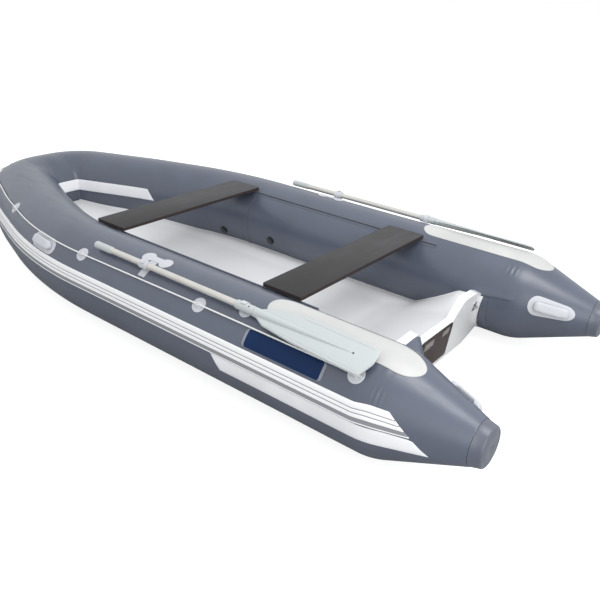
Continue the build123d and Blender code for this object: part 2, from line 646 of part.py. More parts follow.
def place_names():
    """Every node of the boat."""
    nodes = {}
    port, bow, cone, cap = collar_solids()
    void = along(Circle(TUBE_R + GLUE))
    nodes["tube_bow"] = bow
    nodes["hull"], nodes["deck_liner"] = hull_solids(void)
    nodes["transom"], nodes["motor_pad"], nodes["transom_flanges"], nodes["stern_eyes"] = transom_solids(void)
    strake, nodes["strake_bow"] = strake_solids()
    nodes["side_panels"] = pair(side_panel())
    nodes["bow_band"] = band_solid()
    for name, x in BENCH_X.items():
        nodes["bench_" + name], nodes["bench_shoes_" + name] = bench_solids(x)
    nodes["bench_tracks"] = pair(track_solid(*TRACK_X))
    shaft, grip, neck, blade, sleeve = oar_solids()
    rope, holders = rope_solids()
    nodes["rope_patches"] = Compound(children=holders + [other(piece) for piece in holders])
    nodes["stern_top_pads"] = pair(top_pad())
    nodes["blank_plates"] = pair(stern_band(PLATE_X[1], PLATE_X[0], SKIN_T, *PLATE_ANGLES))
    handles = all_handles()
    nodes["handle_pads"] = Compound(children=[p for pad, bar in handles for p in (pad, other(pad))])
    nodes["handle_grips"] = Compound(children=[p for pad, bar in handles for p in (bar, other(bar))])
    caps = [valve_solid(*place) for place in VALVES]
    nodes["valves"] = Compound(children=[other(caps[0]), other(caps[1]), caps[1]])
    nodes["tow_patch"], nodes["tow_ring"] = ring_solids()
    pieces = {"tube": port, "stern_cone": cone, "stern_cap": cap, "strake": strake, "oar_shaft": shaft,
              "oar_grip": grip, "oar_neck": neck, "oar_blade": blade, "oar_sleeve": sleeve,
              "rowlock": rowlock_solid(), "oar_clip": clip_solid(), "lifeline": rope}
    for name, piece in pieces.items():
        nodes[name + "_port"] = piece
        nodes[name + "_starboard"] = other(piece)
    return nodes


os.makedirs("parts", exist_ok=True)
for node, shape in place_names().items():
    export_step(shape, "parts/" + node + ".step")
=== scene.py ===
"""Looks of a small rigid-hull inflatable boat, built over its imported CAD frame, in metres."""

import json
import logging
import math
from dataclasses import dataclass, field
from enum import Enum
from typing import Callable, Iterable, Optional, Sequence, Union

import bmesh
import bpy
from mathutils import Matrix, Vector, noise


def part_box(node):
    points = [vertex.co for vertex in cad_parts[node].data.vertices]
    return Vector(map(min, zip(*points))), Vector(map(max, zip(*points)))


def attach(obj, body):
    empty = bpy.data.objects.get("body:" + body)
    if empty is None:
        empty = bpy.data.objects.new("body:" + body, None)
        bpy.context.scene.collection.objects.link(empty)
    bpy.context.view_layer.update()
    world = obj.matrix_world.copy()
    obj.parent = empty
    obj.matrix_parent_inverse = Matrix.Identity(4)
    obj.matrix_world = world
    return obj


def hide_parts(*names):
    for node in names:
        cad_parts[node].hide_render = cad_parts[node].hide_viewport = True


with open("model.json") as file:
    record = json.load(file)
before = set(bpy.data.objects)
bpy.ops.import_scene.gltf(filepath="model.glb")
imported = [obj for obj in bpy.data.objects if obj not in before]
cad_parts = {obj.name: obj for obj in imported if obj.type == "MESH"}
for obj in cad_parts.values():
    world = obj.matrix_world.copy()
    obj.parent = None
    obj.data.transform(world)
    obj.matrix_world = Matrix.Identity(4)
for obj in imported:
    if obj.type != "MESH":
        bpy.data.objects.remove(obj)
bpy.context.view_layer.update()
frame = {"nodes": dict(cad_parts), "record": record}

log = logging.getLogger("boat")

Color = tuple[float, float, float]
Point2 = tuple[float, float]
Number = Union[int, float]

TUBE_R = 0.215
TUBE_Y = 0.614
TUBE_Z = 0.235
STERN_X = -1.455
CAP_X = -1.785
CAP_R = 0.088
CAP_END_R = 0.079
CAP_LENGTH = 0.045
SHOULDER_RUN = 0.052
SHOULDER = 0.101
CONE_SLOPE = 0.380
CONE_RUN = 0.055
BAFFLE_X = 0.215
GLUE = 0.0003
WALL = 0.0012
NEAR = 1e-7
TRANSOM_X = -1.267
TRANSOM_T = 0.038
TRANSOM_RAKE = 0.17
CUT_Z = 0.231


class Side(Enum):
    """The two sides of the boat."""

    PORT = "port"
    STARBOARD = "starboard"


class Slot(Enum):
    """Material slots of the record."""

    FABRIC = "tube_fabric"
    CAP = "cap_rubber"
    GELCOAT = "hull_gelcoat"
    STRAKE = "strake_white"
    WHITE = "white_fabric"
    BLUE = "blue_fabric"
    PAD = "pad_fabric"
    BENCH = "bench_ply"
    SHOE = "shoe_plastic"
    TRACK = "track_rubber"
    ALLOY = "oar_alloy"
    OAR = "oar_plastic"
    FITTING = "fitting_plastic"
    ROPE = "rope_white"
    MOTOR_PAD = "pad_brown"
    VALVE = "valve_black"
    STEEL = "steel"


# Shader maths


class Shade:
    """A shader socket that takes part in arithmetic."""

    def __init__(self, paint: "Paint", socket: bpy.types.NodeSocket) -> None:
        """Wraps a socket.

        Args:
            paint: The material being made.
            socket: An output socket of one of its nodes.
        """
        self.paint = paint
        self.socket = socket

    def math(self, operation: str, *others: Union["Shade", Number], clamp: bool = False) -> "Shade":
        """Applies a Math node to this socket and others.

        Args:
            operation: The node's operation.
            others: Its second and third inputs.
            clamp: Whether the result is kept from 0 to 1.

        Returns:
            The result.
        """
        inputs = dict(enumerate((self, *others)))
        return self.paint.node("ShaderNodeMath", inputs, operation=operation, use_clamp=clamp)

    def __add__(self, other: Union["Shade", Number]) -> "Shade":
        """Sum.

        Args:
            other: The other term.

        Returns:
            The result.
        """
        return self.math("ADD", other)

    __radd__ = __add__

    def __sub__(self, other: Union["Shade", Number]) -> "Shade":
        """Difference.

        Args:
            other: The other term.

        Returns:
            The result.
        """
        return self.math("SUBTRACT", other)

    def __rsub__(self, other: Number) -> "Shade":
        """Difference from a number.

        Args:
            other: The other term.

        Returns:
            The result.
        """
        return (self * -1.0) + other

    def __mul__(self, other: Union["Shade", Number]) -> "Shade":
        """Product.

        Args:
            other: The other term.

        Returns:
            The result.
        """
        return self.math("MULTIPLY", other)

    __rmul__ = __mul__

    def __truediv__(self, other: Union["Shade", Number]) -> "Shade":
        """Quotient.

        Args:
            other: The other term.

        Returns:
            The result.
        """
        return self.math("DIVIDE", other)

    def __rtruediv__(self, other: Number) -> "Shade":
        """Quotient of a number.

        Args:
            other: The other term.

        Returns:
            The result.
        """
        return self.math("POWER", -1.0) * other

    def __pow__(self, other: Union["Shade", Number]) -> "Shade":
        """Power.

        Args:
            other: The other term.

        Returns:
            The result.
        """
        return self.math("POWER", other)

    def ramp(self, low: float, high: float, start: float = 0.0, end: float = 1.0) -> "Shade":
        """Smooth step between two values.

        Args:
            low: Value where the step starts.
            high: Value where it ends.
            start: Result below the step.
            end: Result above it.

        Returns:
            The stepped value.
        """
        inputs = {"Value": self, "From Min": low, "From Max": high, "To Min": start, "To Max": end}
        return self.paint.node("ShaderNodeMapRange", inputs, interpolation_type="SMOOTHSTEP")

    def within(self, low: float, high: float, soft: float) -> "Shade":
        """One between two values and nought outside them.

        Args:
            low: Lower edge.
            high: Upper edge.
            soft: Half-width of each edge.

        Returns:
            The mask.
        """
        return self.ramp(low - soft, low + soft) * self.ramp(high - soft, high + soft, 1.0, 0.0)


class Paint:
    """A procedural material under construction."""

    def __init__(self, name: str) -> None:
        """Starts an empty node material.

        Args:
            name: The material's name.
        """
        self.material = bpy.data.materials.new(name)
        self.material.use_nodes = True
        self.tree = self.material.node_tree
        self.tree.nodes.clear()

    def node(self, kind: str, inputs: Optional[dict] = None, output: Union[int, str] = 0,
             **settings: object) -> Shade:
        """Makes a node.

        Args:
            kind: The node's type.
            inputs: Values or sockets, by input name or number.
            output: The output that is returned.
            settings: Properties of the node.

        Returns:
            The chosen output.
        """
        made = self.tree.nodes.new(kind)
        for key, value in settings.items():
            setattr(made, key, value)
        for key, value in (inputs or {}).items():
            if isinstance(value, Shade):
                self.tree.links.new(value.socket, made.inputs[key])
            elif isinstance(value, tuple) and made.inputs[key].type == "RGBA":
                made.inputs[key].default_value = (*value, 1.0)
            else:
                made.inputs[key].default_value = value
        return Shade(self, made.outputs[output])

    def place(self) -> Shade:
        """Object coordinates.

        Returns:
            The coordinate socket.
        """
        return self.node("ShaderNodeTexCoord", output="Object")

    def flat(self) -> Shade:
        """The piece's flat pattern coordinates, in metres.

        Returns:
            The UV socket.
        """
        return self.node("ShaderNodeTexCoord", output="UV")

    def axis(self, vector: Shade, name: str) -> Shade:
        """One axis of a vector.

        Args:
            vector: The vector.
            name: X, Y or Z.

        Returns:
            That axis.
        """
        return self.node("ShaderNodeSeparateXYZ", {0: vector}, output=name)

    def stretched(self, vector: Shade, scale: Color) -> Shade:
        """A vector scaled along each axis.

        Args:
            vector: The vector.
            scale: Factor of each axis.

        Returns:
            The scaled vector.
        """
        return self.node("ShaderNodeVectorMath", {0: vector, 1: scale}, operation="MULTIPLY")

    def grain(self, vector: Shade, scale: float, detail: float = 2.0, rough: float = 0.5) -> Shade:
        """Noise.

        Args:
            vector: Where it is looked up.
            scale: Its scale.
            detail: Its octaves.
            rough: Their roughness.

        Returns:
            The noise, from 0 to 1.
        """
        inputs = {"Vector": vector, "Scale": scale, "Detail": detail, "Roughness": rough}
        return self.node("ShaderNodeTexNoise", inputs)

    def mix(self, factor: Union[Shade, float], first: Union[Shade, Color],
            second: Union[Shade, Color]) -> Shade:
        """Mixes two colours.

        Args:
            factor: Share of the second.
            first: The first colour.
            second: The second colour.

        Returns:
            The mixed colour.
        """
        return self.node("ShaderNodeMix", {0: factor, 6: first, 7: second}, output=2, data_type="RGBA")

    def bump(self, height: Shade, distance: float, strength: float = 1.0) -> Shade:
        """Surface relief.

        Args:
            height: Its height, from 0 to 1.
            distance: Depth of the relief in metres.
            strength: Its strength.

        Returns:
            The normal.
        """
        return self.node("ShaderNodeBump", {"Height": height, "Distance": distance, "Strength": strength})

    def finish(self, **inputs: object) -> bpy.types.Material:
        """Joins the surface to the output.

        Args:
            inputs: Inputs of the surface, with underscores for the blanks in their names.

        Returns:
            The material.
        """
        surface = self.node("ShaderNodeBsdfPrincipled", {k.replace("_", " "): v for k, v in inputs.items()})
        self.node_output(surface)
        return self.material

    def node_output(self, surface: Shade) -> None:
        """Adds the output node.

        Args:
            surface: The surface's socket.
        """
        output = self.tree.nodes.new("ShaderNodeOutputMaterial")
        self.tree.links.new(surface.socket, output.inputs["Surface"])


# Finishes


@dataclass(frozen=True)
class CoatedFabric:
    """Coated boat fabric with a fine matt grain, handling marks and a soft sheen."""

    color: Color
    roughness: float = 0.42
    weave: float = 0.00012
    gloss: float = 0.55

    def paint(self, name: str) -> bpy.types.Material:
        """Makes the material.

        Args:
            name: Its name.

        Returns:
            The material.
        """
        p = Paint(name)
        place = p.place()
        clouds = p.grain(place, 3.5, 3.0)
        marks = p.grain(p.stretched(place, (4.0, 14.0, 14.0)), 1.6, 5.0, 0.62)
        fine = p.grain(place, 700.0, 2.0)
        thread = p.grain(p.stretched(place, (900.0, 260.0, 900.0)), 1.0, 1.0)
        dark = tuple(c * 0.93 for c in self.color)
        light = tuple(min(1.0, c * 1.05) for c in self.color)
        color = p.mix(clouds.ramp(0.35, 0.65), dark, light)
        dusty = tuple(c * 0.6 + 0.4 * sum(self.color) / 3 * 1.2 for c in self.color)
        color = p.mix(marks.ramp(0.56, 0.78) * 0.14, color, dusty)
        rough = clouds * 0.10 + marks.ramp(0.45, 0.8) * 0.10 + (self.roughness - 0.09)
        relief = p.bump(fine * 0.6 + thread * 0.4, self.weave, 0.55)
        return p.finish(Base_Color=color, Roughness=rough, Normal=relief, Specular_IOR_Level=self.gloss)


@dataclass(frozen=True)
class Gelcoat:
    """Moulded glass fibre with a gloss coat, faint waves and blotches of grey dust."""

    color: Color = (0.87, 0.87, 0.875)

    def paint(self, name: str) -> bpy.types.Material:
        """Makes the material.

        Args:
            name: Its name.

        Returns:
            The material.
        """
        p = Paint(name)
        place = p.place()
        wave = p.grain(place, 5.0, 2.0)
        dust = p.grain(place, 14.0, 6.0, 0.6)
        color = p.mix(dust.ramp(0.50, 0.80) * 0.25, self.color, tuple(c * 0.93 for c in self.color))
        rough = dust * 0.10 + 0.20
        relief = p.bump(wave, 0.004, 0.25)
        return p.finish(Base_Color=color, Roughness=rough, Normal=relief, Coat_Weight=0.25,
                        Coat_Roughness=0.1)


@dataclass(frozen=True)
class Stripe:
    """A stripe along a rubber strake."""

    low: float
    high: float
    color: Color


@dataclass(frozen=True)
class RibbedRubber:
    """Extruded rubber with stripes painted along its length, some of them painted shade in its grooves."""

    color: Color
    stripes: tuple[Stripe, ...] = ()

    def paint(self, name: str) -> bpy.types.Material:
        """Makes the material.

        Args:
            name: Its name.

        Returns:
            The material.
        """
        p = Paint(name)
        place = p.place()
        flat = p.flat()
        girth = p.axis(flat, "Y")
        color: Union[Shade, Color] = self.color
        # Stripes: on the strake the two thin grey ones are painted shade in the grooves between the ribs, and
        # the wide one greys the recessed lower band.
        for stripe in self.stripes:
            color = p.mix(girth.within(stripe.low, stripe.high, 0.0004), color, stripe.color)
        scuff = p.grain(p.stretched(flat, (9.0, 160.0, 1.0)), 1.0, 5.0, 0.65)
        color = p.mix(scuff.ramp(0.60, 0.82) * 0.25, color, (0.45, 0.45, 0.45))
        fine = p.grain(place, 500.0, 2.0)
        rough = scuff * 0.2 + 0.36
        return p.finish(Base_Color=color, Roughness=rough, Normal=p.bump(fine, 0.0001, 0.5))


@dataclass(frozen=True)
class Plastic:
    """Moulded plastic with a fine texture and light scuffs."""

    color: Color
    roughness: float = 0.38

    def paint(self, name: str) -> bpy.types.Material:
        """Makes the material.

        Args:
            name: Its name.

        Returns:
            The material.
        """
        p = Paint(name)
        place = p.place()
        fine = p.grain(place, 420.0, 2.0)
        scuff = p.grain(p.stretched(place, (60.0, 18.0, 40.0)), 1.0, 5.0, 0.65)
        clouds = p.grain(place, 9.0, 2.0)
        worn = tuple(c * 0.82 + 0.06 for c in self.color)
        color = p.mix(scuff.ramp(0.58, 0.80) * 0.4, self.color, worn)
        rough = clouds * 0.12 + scuff * 0.1 + (self.roughness - 0.1)
        return p.finish(Base_Color=color, Roughness=rough, Normal=p.bump(fine, 0.0001, 0.4))


@dataclass(frozen=True)
class FilmPly:
    """Film-faced plywood board: dark film above and below."""

    color: Color = (0.017, 0.0155, 0.0165)

    def paint(self, name: str) -> bpy.types.Material:
        """Makes the material.

        Args:
            name: Its name.

        Returns:
            The material.
        """
        p = Paint(name)
        place = p.place()
        pressed = p.grain(p.stretched(place, (300.0, 300.0, 300.0)), 1.0, 2.0)
        rub = p.grain(p.stretched(place, (22.0, 7.0, 10.0)), 1.0, 6.0, 0.6)
        color = p.mix(rub.ramp(0.5, 0.8) * 0.5, self.color, tuple(c * 1.8 for c in self.color))
        rough = rub * 0.22 + 0.34
        relief = p.bump(pressed, 0.0001, 0.6)
        return p.finish(Base_Color=color, Roughness=rough, Normal=relief, Specular_IOR_Level=0.35)


@dataclass(frozen=True)
class PlyEdge:
    """Sealed edge of a plywood board, its veneers faintly showing."""

    color: Color = (0.014, 0.0055, 0.005)

    def paint(self, name: str) -> bpy.types.Material:
        """Makes the material.

        Args:
            name: Its name.

        Returns:
            The material.
        """
        p = Paint(name)
        place = p.place()
        layers = p.grain(p.stretched(place, (3.0, 3.0, 900.0)), 1.0, 2.0)
        color = p.mix(layers.ramp(0.4, 0.6) * 0.5, self.color, tuple(c * 1.6 for c in self.color))
        return p.finish(Base_Color=color, Roughness=layers * 0.2 + 0.45, Normal=p.bump(layers, 0.0003, 0.5))


@dataclass(frozen=True)
class Alloy:
    """Satin anodised tube, brushed along its length."""

    color: Color = (0.67, 0.65, 0.61)

    def paint(self, name: str) -> bpy.types.Material:
        """Makes the material.

        Args:
            name: Its name.

        Returns:
            The material.
        """
        p = Paint(name)
        place = p.place()
        brush = p.grain(p.stretched(place, (6.0, 800.0, 800.0)), 1.0, 3.0)
        cloud = p.grain(place, 16.0, 3.0)
        color = p.mix(cloud.ramp(0.4, 0.7) * 0.4, self.color, tuple(c * 0.86 for c in self.color))
        rough = brush * 0.15 + cloud * 0.12 + 0.26
        return p.finish(Base_Color=color, Metallic=0.55, Roughness=rough, Normal=p.bump(brush, 0.0001, 0.3))


@dataclass(frozen=True)
class Steel:
    """Polished stainless steel."""

    color: Color = (0.62, 0.62, 0.63)

    def paint(self, name: str) -> bpy.types.Material:
        """Makes the material.

        Args:
            name: Its name.

        Returns:
            The material.
        """
        p = Paint(name)
        marks = p.grain(p.place(), 120.0, 3.0)
        return p.finish(Base_Color=self.color, Metallic=1.0, Roughness=marks * 0.2 + 0.18)


@dataclass(frozen=True)
class Braid:
    """Laid rope: fine fibres over its strands."""

    color: Color = (0.83, 0.83, 0.82)

    def paint(self, name: str) -> bpy.types.Material:
        """Makes the material.

        Args:
            name: Its name.

        Returns:
            The material.
        """
        p = Paint(name)
        place = p.place()
        fibre = p.grain(p.stretched(place, (1400.0, 2600.0, 2600.0)), 1.0, 3.0)
        soil = p.grain(place, 20.0, 4.0)
        color = p.mix(soil.ramp(0.5, 0.8) * 0.4, self.color, tuple(c * 0.75 for c in self.color))
        return p.finish(Base_Color=color, Roughness=fibre * 0.2 + 0.62, Normal=p.bump(fibre, 0.0003, 0.7))


@dataclass(frozen=True)
class MotorPlate:
    """Laminated motor plate: dark brown, with pale smears near its top."""

    color: Color = (0.030, 0.015, 0.012)

    def paint(self, name: str) -> bpy.types.Material:
        """Makes the material.

        Args:
            name: Its name.

        Returns:
            The material.
        """
        p = Paint(name)
        place = p.place()
        across, up = p.axis(place, "Y"), p.axis(place, "Z")
        torn = p.grain(p.stretched(place, (20.0, 20.0, 60.0)), 1.0, 3.0, 0.6)
        edge = up + torn * 0.030
        left = across.within(0.030, 0.112, 0.006) * edge.within(0.186, 0.224, 0.006)
        right = across.within(-0.112, -0.050, 0.006) * edge.within(0.196, 0.228, 0.006)
        color = p.mix((left + right) * 0.75, self.color, (0.34, 0.32, 0.30))
        cloud = p.grain(place, 8.0, 4.0)
        color = p.mix(cloud.ramp(0.45, 0.75) * 0.35, color, (0.10, 0.068, 0.060))
        fine = p.grain(place, 260.0, 2.0)
        return p.finish(Base_Color=color, Roughness=cloud * 0.3 + 0.30, Normal=p.bump(fine, 0.0001, 0.4))


# The collar's shape


@dataclass(frozen=True)
class Leg:
    """A straight or evenly bent stretch of the tube's centreline in plan."""

    x: float
    y: float
    heading: float
    length: float
    bend: float

    def at(self, run: float) -> tuple[float, float, float]:
        """Point and heading after a run along the leg.

        Args:
            run: Distance from its start.

        Returns:
            x, y and heading.
        """
        if abs(self.bend) < 1e-9:
            return self.x + run * math.cos(self.heading), self.y + run * math.sin(self.heading), self.heading
        turned = self.heading + self.bend * run
        across = (math.sin(turned) - math.sin(self.heading)) / self.bend
        along = (math.cos(self.heading) - math.cos(turned)) / self.bend
        return self.x + across, self.y + along, turned


@dataclass(frozen=True)
class Fold:
    """A shallow ripple of the fabric, around one place."""

    run: float
    angle: float
    reach: float
    spread: float
    depth: float
    waves: float

    def height(self, run: float, angle: float) -> float:
        """Rise of the fabric at a place.

        Args:
            run: Run of the place.
            angle: Its angle in degrees.

        Returns:
            The rise.
        """
        a = (run - self.run) / self.reach
        b = (angle - self.angle) / self.spread
        if abs(a) > 1 or abs(b) > 1:
            return 0.0
        fade = (1 - a * a) ** 2 * (1 - b * b) ** 2
        return self.depth * fade * math.cos(a * math.pi * self.waves)


@dataclass
class Collar:
    """The inflated tube: its centreline in plan, its radius and its tapered ends."""

    corners: tuple[tuple[float, float, float], ...] = (
        (0.521, 0.614, 2.1), (1.110, 0.420, 2.0), (1.625, 0.210, 0.235),
        (1.625, -0.210, 0.235), (1.110, -0.420, 2.0), (0.521, -0.614, 2.1))
    folds: tuple[Fold, ...] = (
        Fold(0.048, 127, 0.045, 13, 0.0011, 3.5), Fold(-0.012, 38, 0.042, 15, 0.0011, 4.5),
        Fold(-0.002, 66, 0.060, 18, 0.0006, 3.0), Fold(2.36, 20, 0.25, 60, 0.0010, 3.0),
        Fold(3.02, 128, 0.10, 26, 0.0030, 1.5), Fold(3.30, 120, 0.20, 40, 0.0014, 3.0))
    legs: list[Leg] = field(default_factory=list)

    def __post_init__(self) -> None:
        """Rounds the corners of the plan into legs."""
        points = [(STERN_X, TUBE_Y)] + [(x, y) for x, y, _ in self.corners] + [(STERN_X, -TUBE_Y)]
        here = points[0]
        for number, (x, y, radius) in enumerate(self.corners):
            before, after = points[number], points[number + 2]
            heading = math.atan2(y - before[1], x - before[0])
            turn = math.remainder(math.atan2(after[1] - y, after[0] - x) - heading, math.tau)
            back = radius * math.tan(abs(turn) / 2)
            length = math.dist(here, (x, y)) - back
            self.legs.append(Leg(here[0], here[1], heading, length, 0.0))
            start = self.legs[-1].at(length)
            arc = Leg(start[0], start[1], heading, radius * abs(turn), math.copysign(1 / radius, turn))
            self.legs.append(arc)
            here = arc.at(arc.length)[:2]
            last = arc.at(arc.length)[2]
        self.legs.append(Leg(here[0], here[1], last, math.dist(here, points[-1]), 0.0))
        self.length = sum(leg.length for leg in self.legs)
        step = self.length / 700
        self.trace = [self.centre(n * step)[:2] for n in range(-100, 801)]

    def centre(self, run: float) -> tuple[float, float, float]:
        """Point of the centreline, which runs straight on past both stern ends.

        Args:
            run: Distance from the port stern corner.

        Returns:
            x, y and heading.
        """
        left = run
        for leg in self.legs[:-1]:
            if left <= leg.length:
                return leg.at(left)
            left -= leg.length
        return self.legs[-1].at(left)

    def radius(self, run: float) -> float:
        """Radius of the tube, less on the stern ends.

        Args:
            run: Distance from the port stern corner.

        Returns:
            The radius.
        """
        past = max(0.0, SHOULDER_RUN - run, run - self.length + SHOULDER_RUN)
        return TUBE_R - CONE_SLOPE * (past ** 2 / (2 * SHOULDER) if past < SHOULDER else past - SHOULDER / 2)

    def run_at(self, x: float) -> float:
        """Run on the port side where the centreline reaches a station.

        Args:
            x: The station.

        Returns:
            The run.
        """
        low, high = -1.0, self.length / 2
        for _ in range(40):
            middle = (low + high) / 2
            low, high = (middle, high) if self.centre(middle)[0] < x else (low, middle)
        return low

    def relief(self, run: float, angle: float) -> float:
        """Rise of the blown-up fabric at a place.

        Args:
            run: Distance from the port stern corner.
            angle: Angle from outboard in degrees.

        Returns:
            The rise.
        """
        mirror = self.length - run
        total = sum(fold.height(run, angle) + fold.height(mirror, angle) for fold in self.folds)
        turn = math.radians(angle)
        return total + 0.0007 * noise.noise(Vector((run * 3.1, math.cos(turn) * 0.7, math.sin(turn) * 0.7)))

    def place(self, run: float, angle: float, lift: float = 0.0) -> Vector:
        """Point on the skin.

        Args:
            run: Distance from the port stern corner.
            angle: Angle from outboard, upwards, in radians.
            lift: Distance off the skin.

        Returns:
            The point.
        """
        x, y, heading = self.centre(run)
        reach = self.radius(run) + self.relief(run, math.degrees(angle)) + lift
        out = reach * math.cos(angle)
        height = TUBE_Z + reach * math.sin(angle)
        return Vector((x - math.sin(heading) * out, y + math.cos(heading) * out, height))

    def seat(self, run: float, angle: float, lift: float = 0.0) -> Matrix:
        """Frame on the skin: x forward, y down and outboard, z off the skin.

        Args:
            run: Distance from the port stern corner.
            angle: Angle from outboard in degrees.
            lift: Distance off the skin.

        Returns:
            The frame.
        """
        turn = math.radians(angle)
        here = self.place(run, turn, lift)
        ahead = (self.place(run + 0.001, turn, lift) - self.place(run - 0.001, turn, lift)).normalized()
        down = (self.place(run, turn - 0.001, lift) - self.place(run, turn + 0.001, lift)).normalized()
        off = ahead.cross(down)
        return Matrix(((ahead.x, down.x, off.x, here.x), (ahead.y, down.y, off.y, here.y),
                       (ahead.z, down.z, off.z, here.z), (0, 0, 0, 1)))

    def clearance(self, point: Vector) -> float:
        """Distance of a point from the skin, less than nought inside.

        Args:
            point: The point.

        Returns:
            The distance.
        """
        near = min((point.x - x) ** 2 + (point.y - y) ** 2 for x, y in self.trace)
        return math.sqrt(near + (point.z - TUBE_Z) ** 2) - TUBE_R


COLLAR = Collar()


# Building meshes


class Form:
    """A mesh under construction."""

    def __init__(self) -> None:
        """Starts an empty mesh with flat pattern coordinates."""
        self.bm = bmesh.new()
        self.uv = self.bm.loops.layers.uv.new("UVMap")

    def plate(self, outline: Sequence[Point2], thickness: float, edge: float = 0.0, segments: int = 2,
              base: float = 0.0) -> "Form":
        """Adds a flat plate with a rounded upper edge.

        Args:
            outline: Its corners in x and y.
            thickness: Its thickness.
            edge: Radius of the rounded edge.
            segments: Steps of that edge.
            base: Height of its underside.

        Returns:
            This mesh.
        """
        bm = self.bm
        area = sum(a[0] * b[1] - b[0] * a[1] for a, b in zip(outline, [*outline[1:], outline[0]]))
        points = list(outline) if area > 0 else list(reversed(outline))
        face = bm.faces.new([bm.verts.new((x, y, base)) for x, y in points])
        grown = bmesh.ops.extrude_face_region(bm, geom=[face])["geom"]
        tops = {v for v in grown if isinstance(v, bmesh.types.BMVert)}
        bmesh.ops.translate(bm, verts=list(tops), vec=(0, 0, thickness))
        bmesh.ops.reverse_faces(bm, faces=[face])
        if edge:
            self.soften([e for e in bm.edges if e.verts[0] in tops and e.verts[1] in tops], edge, segments)
        return self

    def soften(self, edges: Sequence[bmesh.types.BMEdge], radius: float, segments: int) -> "Form":
        """Rounds edges.

        Args:
            edges: The edges.
            radius: Radius of the rounding.
            segments: Steps of the rounding.

        Returns:
            This mesh.
        """
        bmesh.ops.bevel(self.bm, geom=edges, offset=radius, offset_type="OFFSET", segments=segments,
                        profile=0.5, affect="EDGES", clamp_overlap=True, material=-1)
        return self

    def cut(self, step: float, axis: int = 0) -> "Form":
        """Cuts the mesh across an axis at even steps, so that it can bend.

        Args:
            step: Distance between cuts.
            axis: 0 for x, 1 for y.

        Returns:
            This mesh.
        """
        values = [v.co[axis] for v in self.bm.verts]
        low, high = min(values), max(values)
        count = int((high - low) / step)
        normal = Vector((0, 0, 0))
        normal[axis] = 1
        for number in range(1, count + 1):
            here = low + (high - low) * number / (count + 1)
            geometry = [*self.bm.verts, *self.bm.edges, *self.bm.faces]
            bmesh.ops.bisect_plane(self.bm, geom=geometry, dist=NEAR, plane_co=normal * here, plane_no=normal)
        return self

    def trim(self, point: Vector, normal: Vector) -> "Form":
        """Cuts away what lies on the far side of a plane and closes the cut.

        Args:
            point: A point of the plane.
            normal: The direction of what goes.

        Returns:
            This mesh.
        """
        geometry = [*self.bm.verts, *self.bm.edges, *self.bm.faces]
        bmesh.ops.bisect_plane(self.bm, geom=geometry, dist=NEAR, plane_co=point, plane_no=normal,
                               clear_outer=True)
        edges = [e for e in self.bm.edges if e.is_boundary]
        if edges:
            bmesh.ops.holes_fill(self.bm, edges=edges, sides=0)
        return self

    def lay_flat(self) -> "Form":
        """Takes x and y as the flat pattern coordinates.

        Returns:
            This mesh.
        """
        for face in self.bm.faces:
            for loop in face.loops:
                loop[self.uv].uv = loop.vert.co.xy
        return self

    def shape(self, place: Callable[[Vector], Vector]) -> "Form":
        """Moves each point.

        Args:
            place: The move.

        Returns:
            This mesh.
        """
        for vert in self.bm.verts:
            vert.co = place(vert.co.copy())
        return self

    def seat(self, matrix: Matrix) -> "Form":
        """Moves the mesh into a frame.

        Args:
            matrix: The frame.

        Returns:
            This mesh.
        """
        bmesh.ops.transform(self.bm, matrix=matrix, verts=self.bm.verts[:])
        return self

    def wrap(self, run: float, angle: float, lift: float = GLUE) -> "Form":
        """Lays the flat pattern on the collar: x forward, y down, z off the skin.

        Args:
            run: Run of the pattern's origin.
            angle: Its angle from outboard in degrees.
            lift: Height of its underside off the skin.

        Returns:
            This mesh.
        """
        turn = math.radians(angle)
        girth = COLLAR.radius(run)
        return self.shape(lambda co: COLLAR.place(run + co.x, turn - co.y / girth, lift + co.z))

    def skin(self, rows: Sequence[Sequence[Vector]], ring: bool = True, caps: bool = True) -> "Form":
        """Joins rows of points with faces.

        Args:
            rows: The rows, each of the same length.
            ring: Whether each row closes on itself.
            caps: Whether the first and last row are filled.

        Returns:
            This mesh.
        """
        bm = self.bm
        made = [[bm.verts.new(p) for p in row] for row in rows]
        count = len(rows[0])
        for i in range(len(made) - 1):
            for j in range(count if ring else count - 1):
                k = (j + 1) % count
                face = bm.faces.new((made[i][j], made[i][k], made[i + 1][k], made[i + 1][j]))
                corners = ((i, j), (i, j + 1), (i + 1, j + 1), (i + 1, j))
                for loop, (a, b) in zip(face.loops, corners):
                    loop[self.uv].uv = (a / len(rows), b / count)
        if caps:
            bm.faces.new(list(reversed(made[0])))
            bm.faces.new(made[-1])
        return self

    def turn(self, profile: Sequence[Point2], steps: int = 32) -> "Form":
        """Adds a shape turned about z.

        Args:
            profile: Its radius and height from bottom to top, both ends on the axis.
            steps: Steps round the axis.

        Returns:
            This mesh.
        """
        bm = self.bm
        verts = [bm.verts.new((r, 0, z)) for r, z in profile]
        edges = [bm.edges.new(pair) for pair in zip(verts, verts[1:])]
        bmesh.ops.spin(bm, geom=verts + edges, cent=(0, 0, 0), axis=(0, 0, 1), dvec=(0, 0, 0), angle=math.tau,
                       steps=steps, use_merge=True, use_normal_flip=False, use_duplicate=False)
        bmesh.ops.remove_doubles(bm, verts=bm.verts[:], dist=1e-6)
        return self.outward()

    def outward(self) -> "Form":
        """Turns every face outwards.

        Returns:
            This mesh.
        """
        bmesh.ops.recalc_face_normals(self.bm, faces=self.bm.faces[:])
        return self

    def join(self, other: "Form") -> "Form":
        """Adds another mesh to this one.

        Args:
            other: The other mesh, which is used up.

        Returns:
            This mesh.
        """
        held = bpy.data.meshes.new("held")
        other.bm.to_mesh(held)
        other.bm.free()
        self.bm.from_mesh(held)
        bpy.data.meshes.remove(held)
        return self

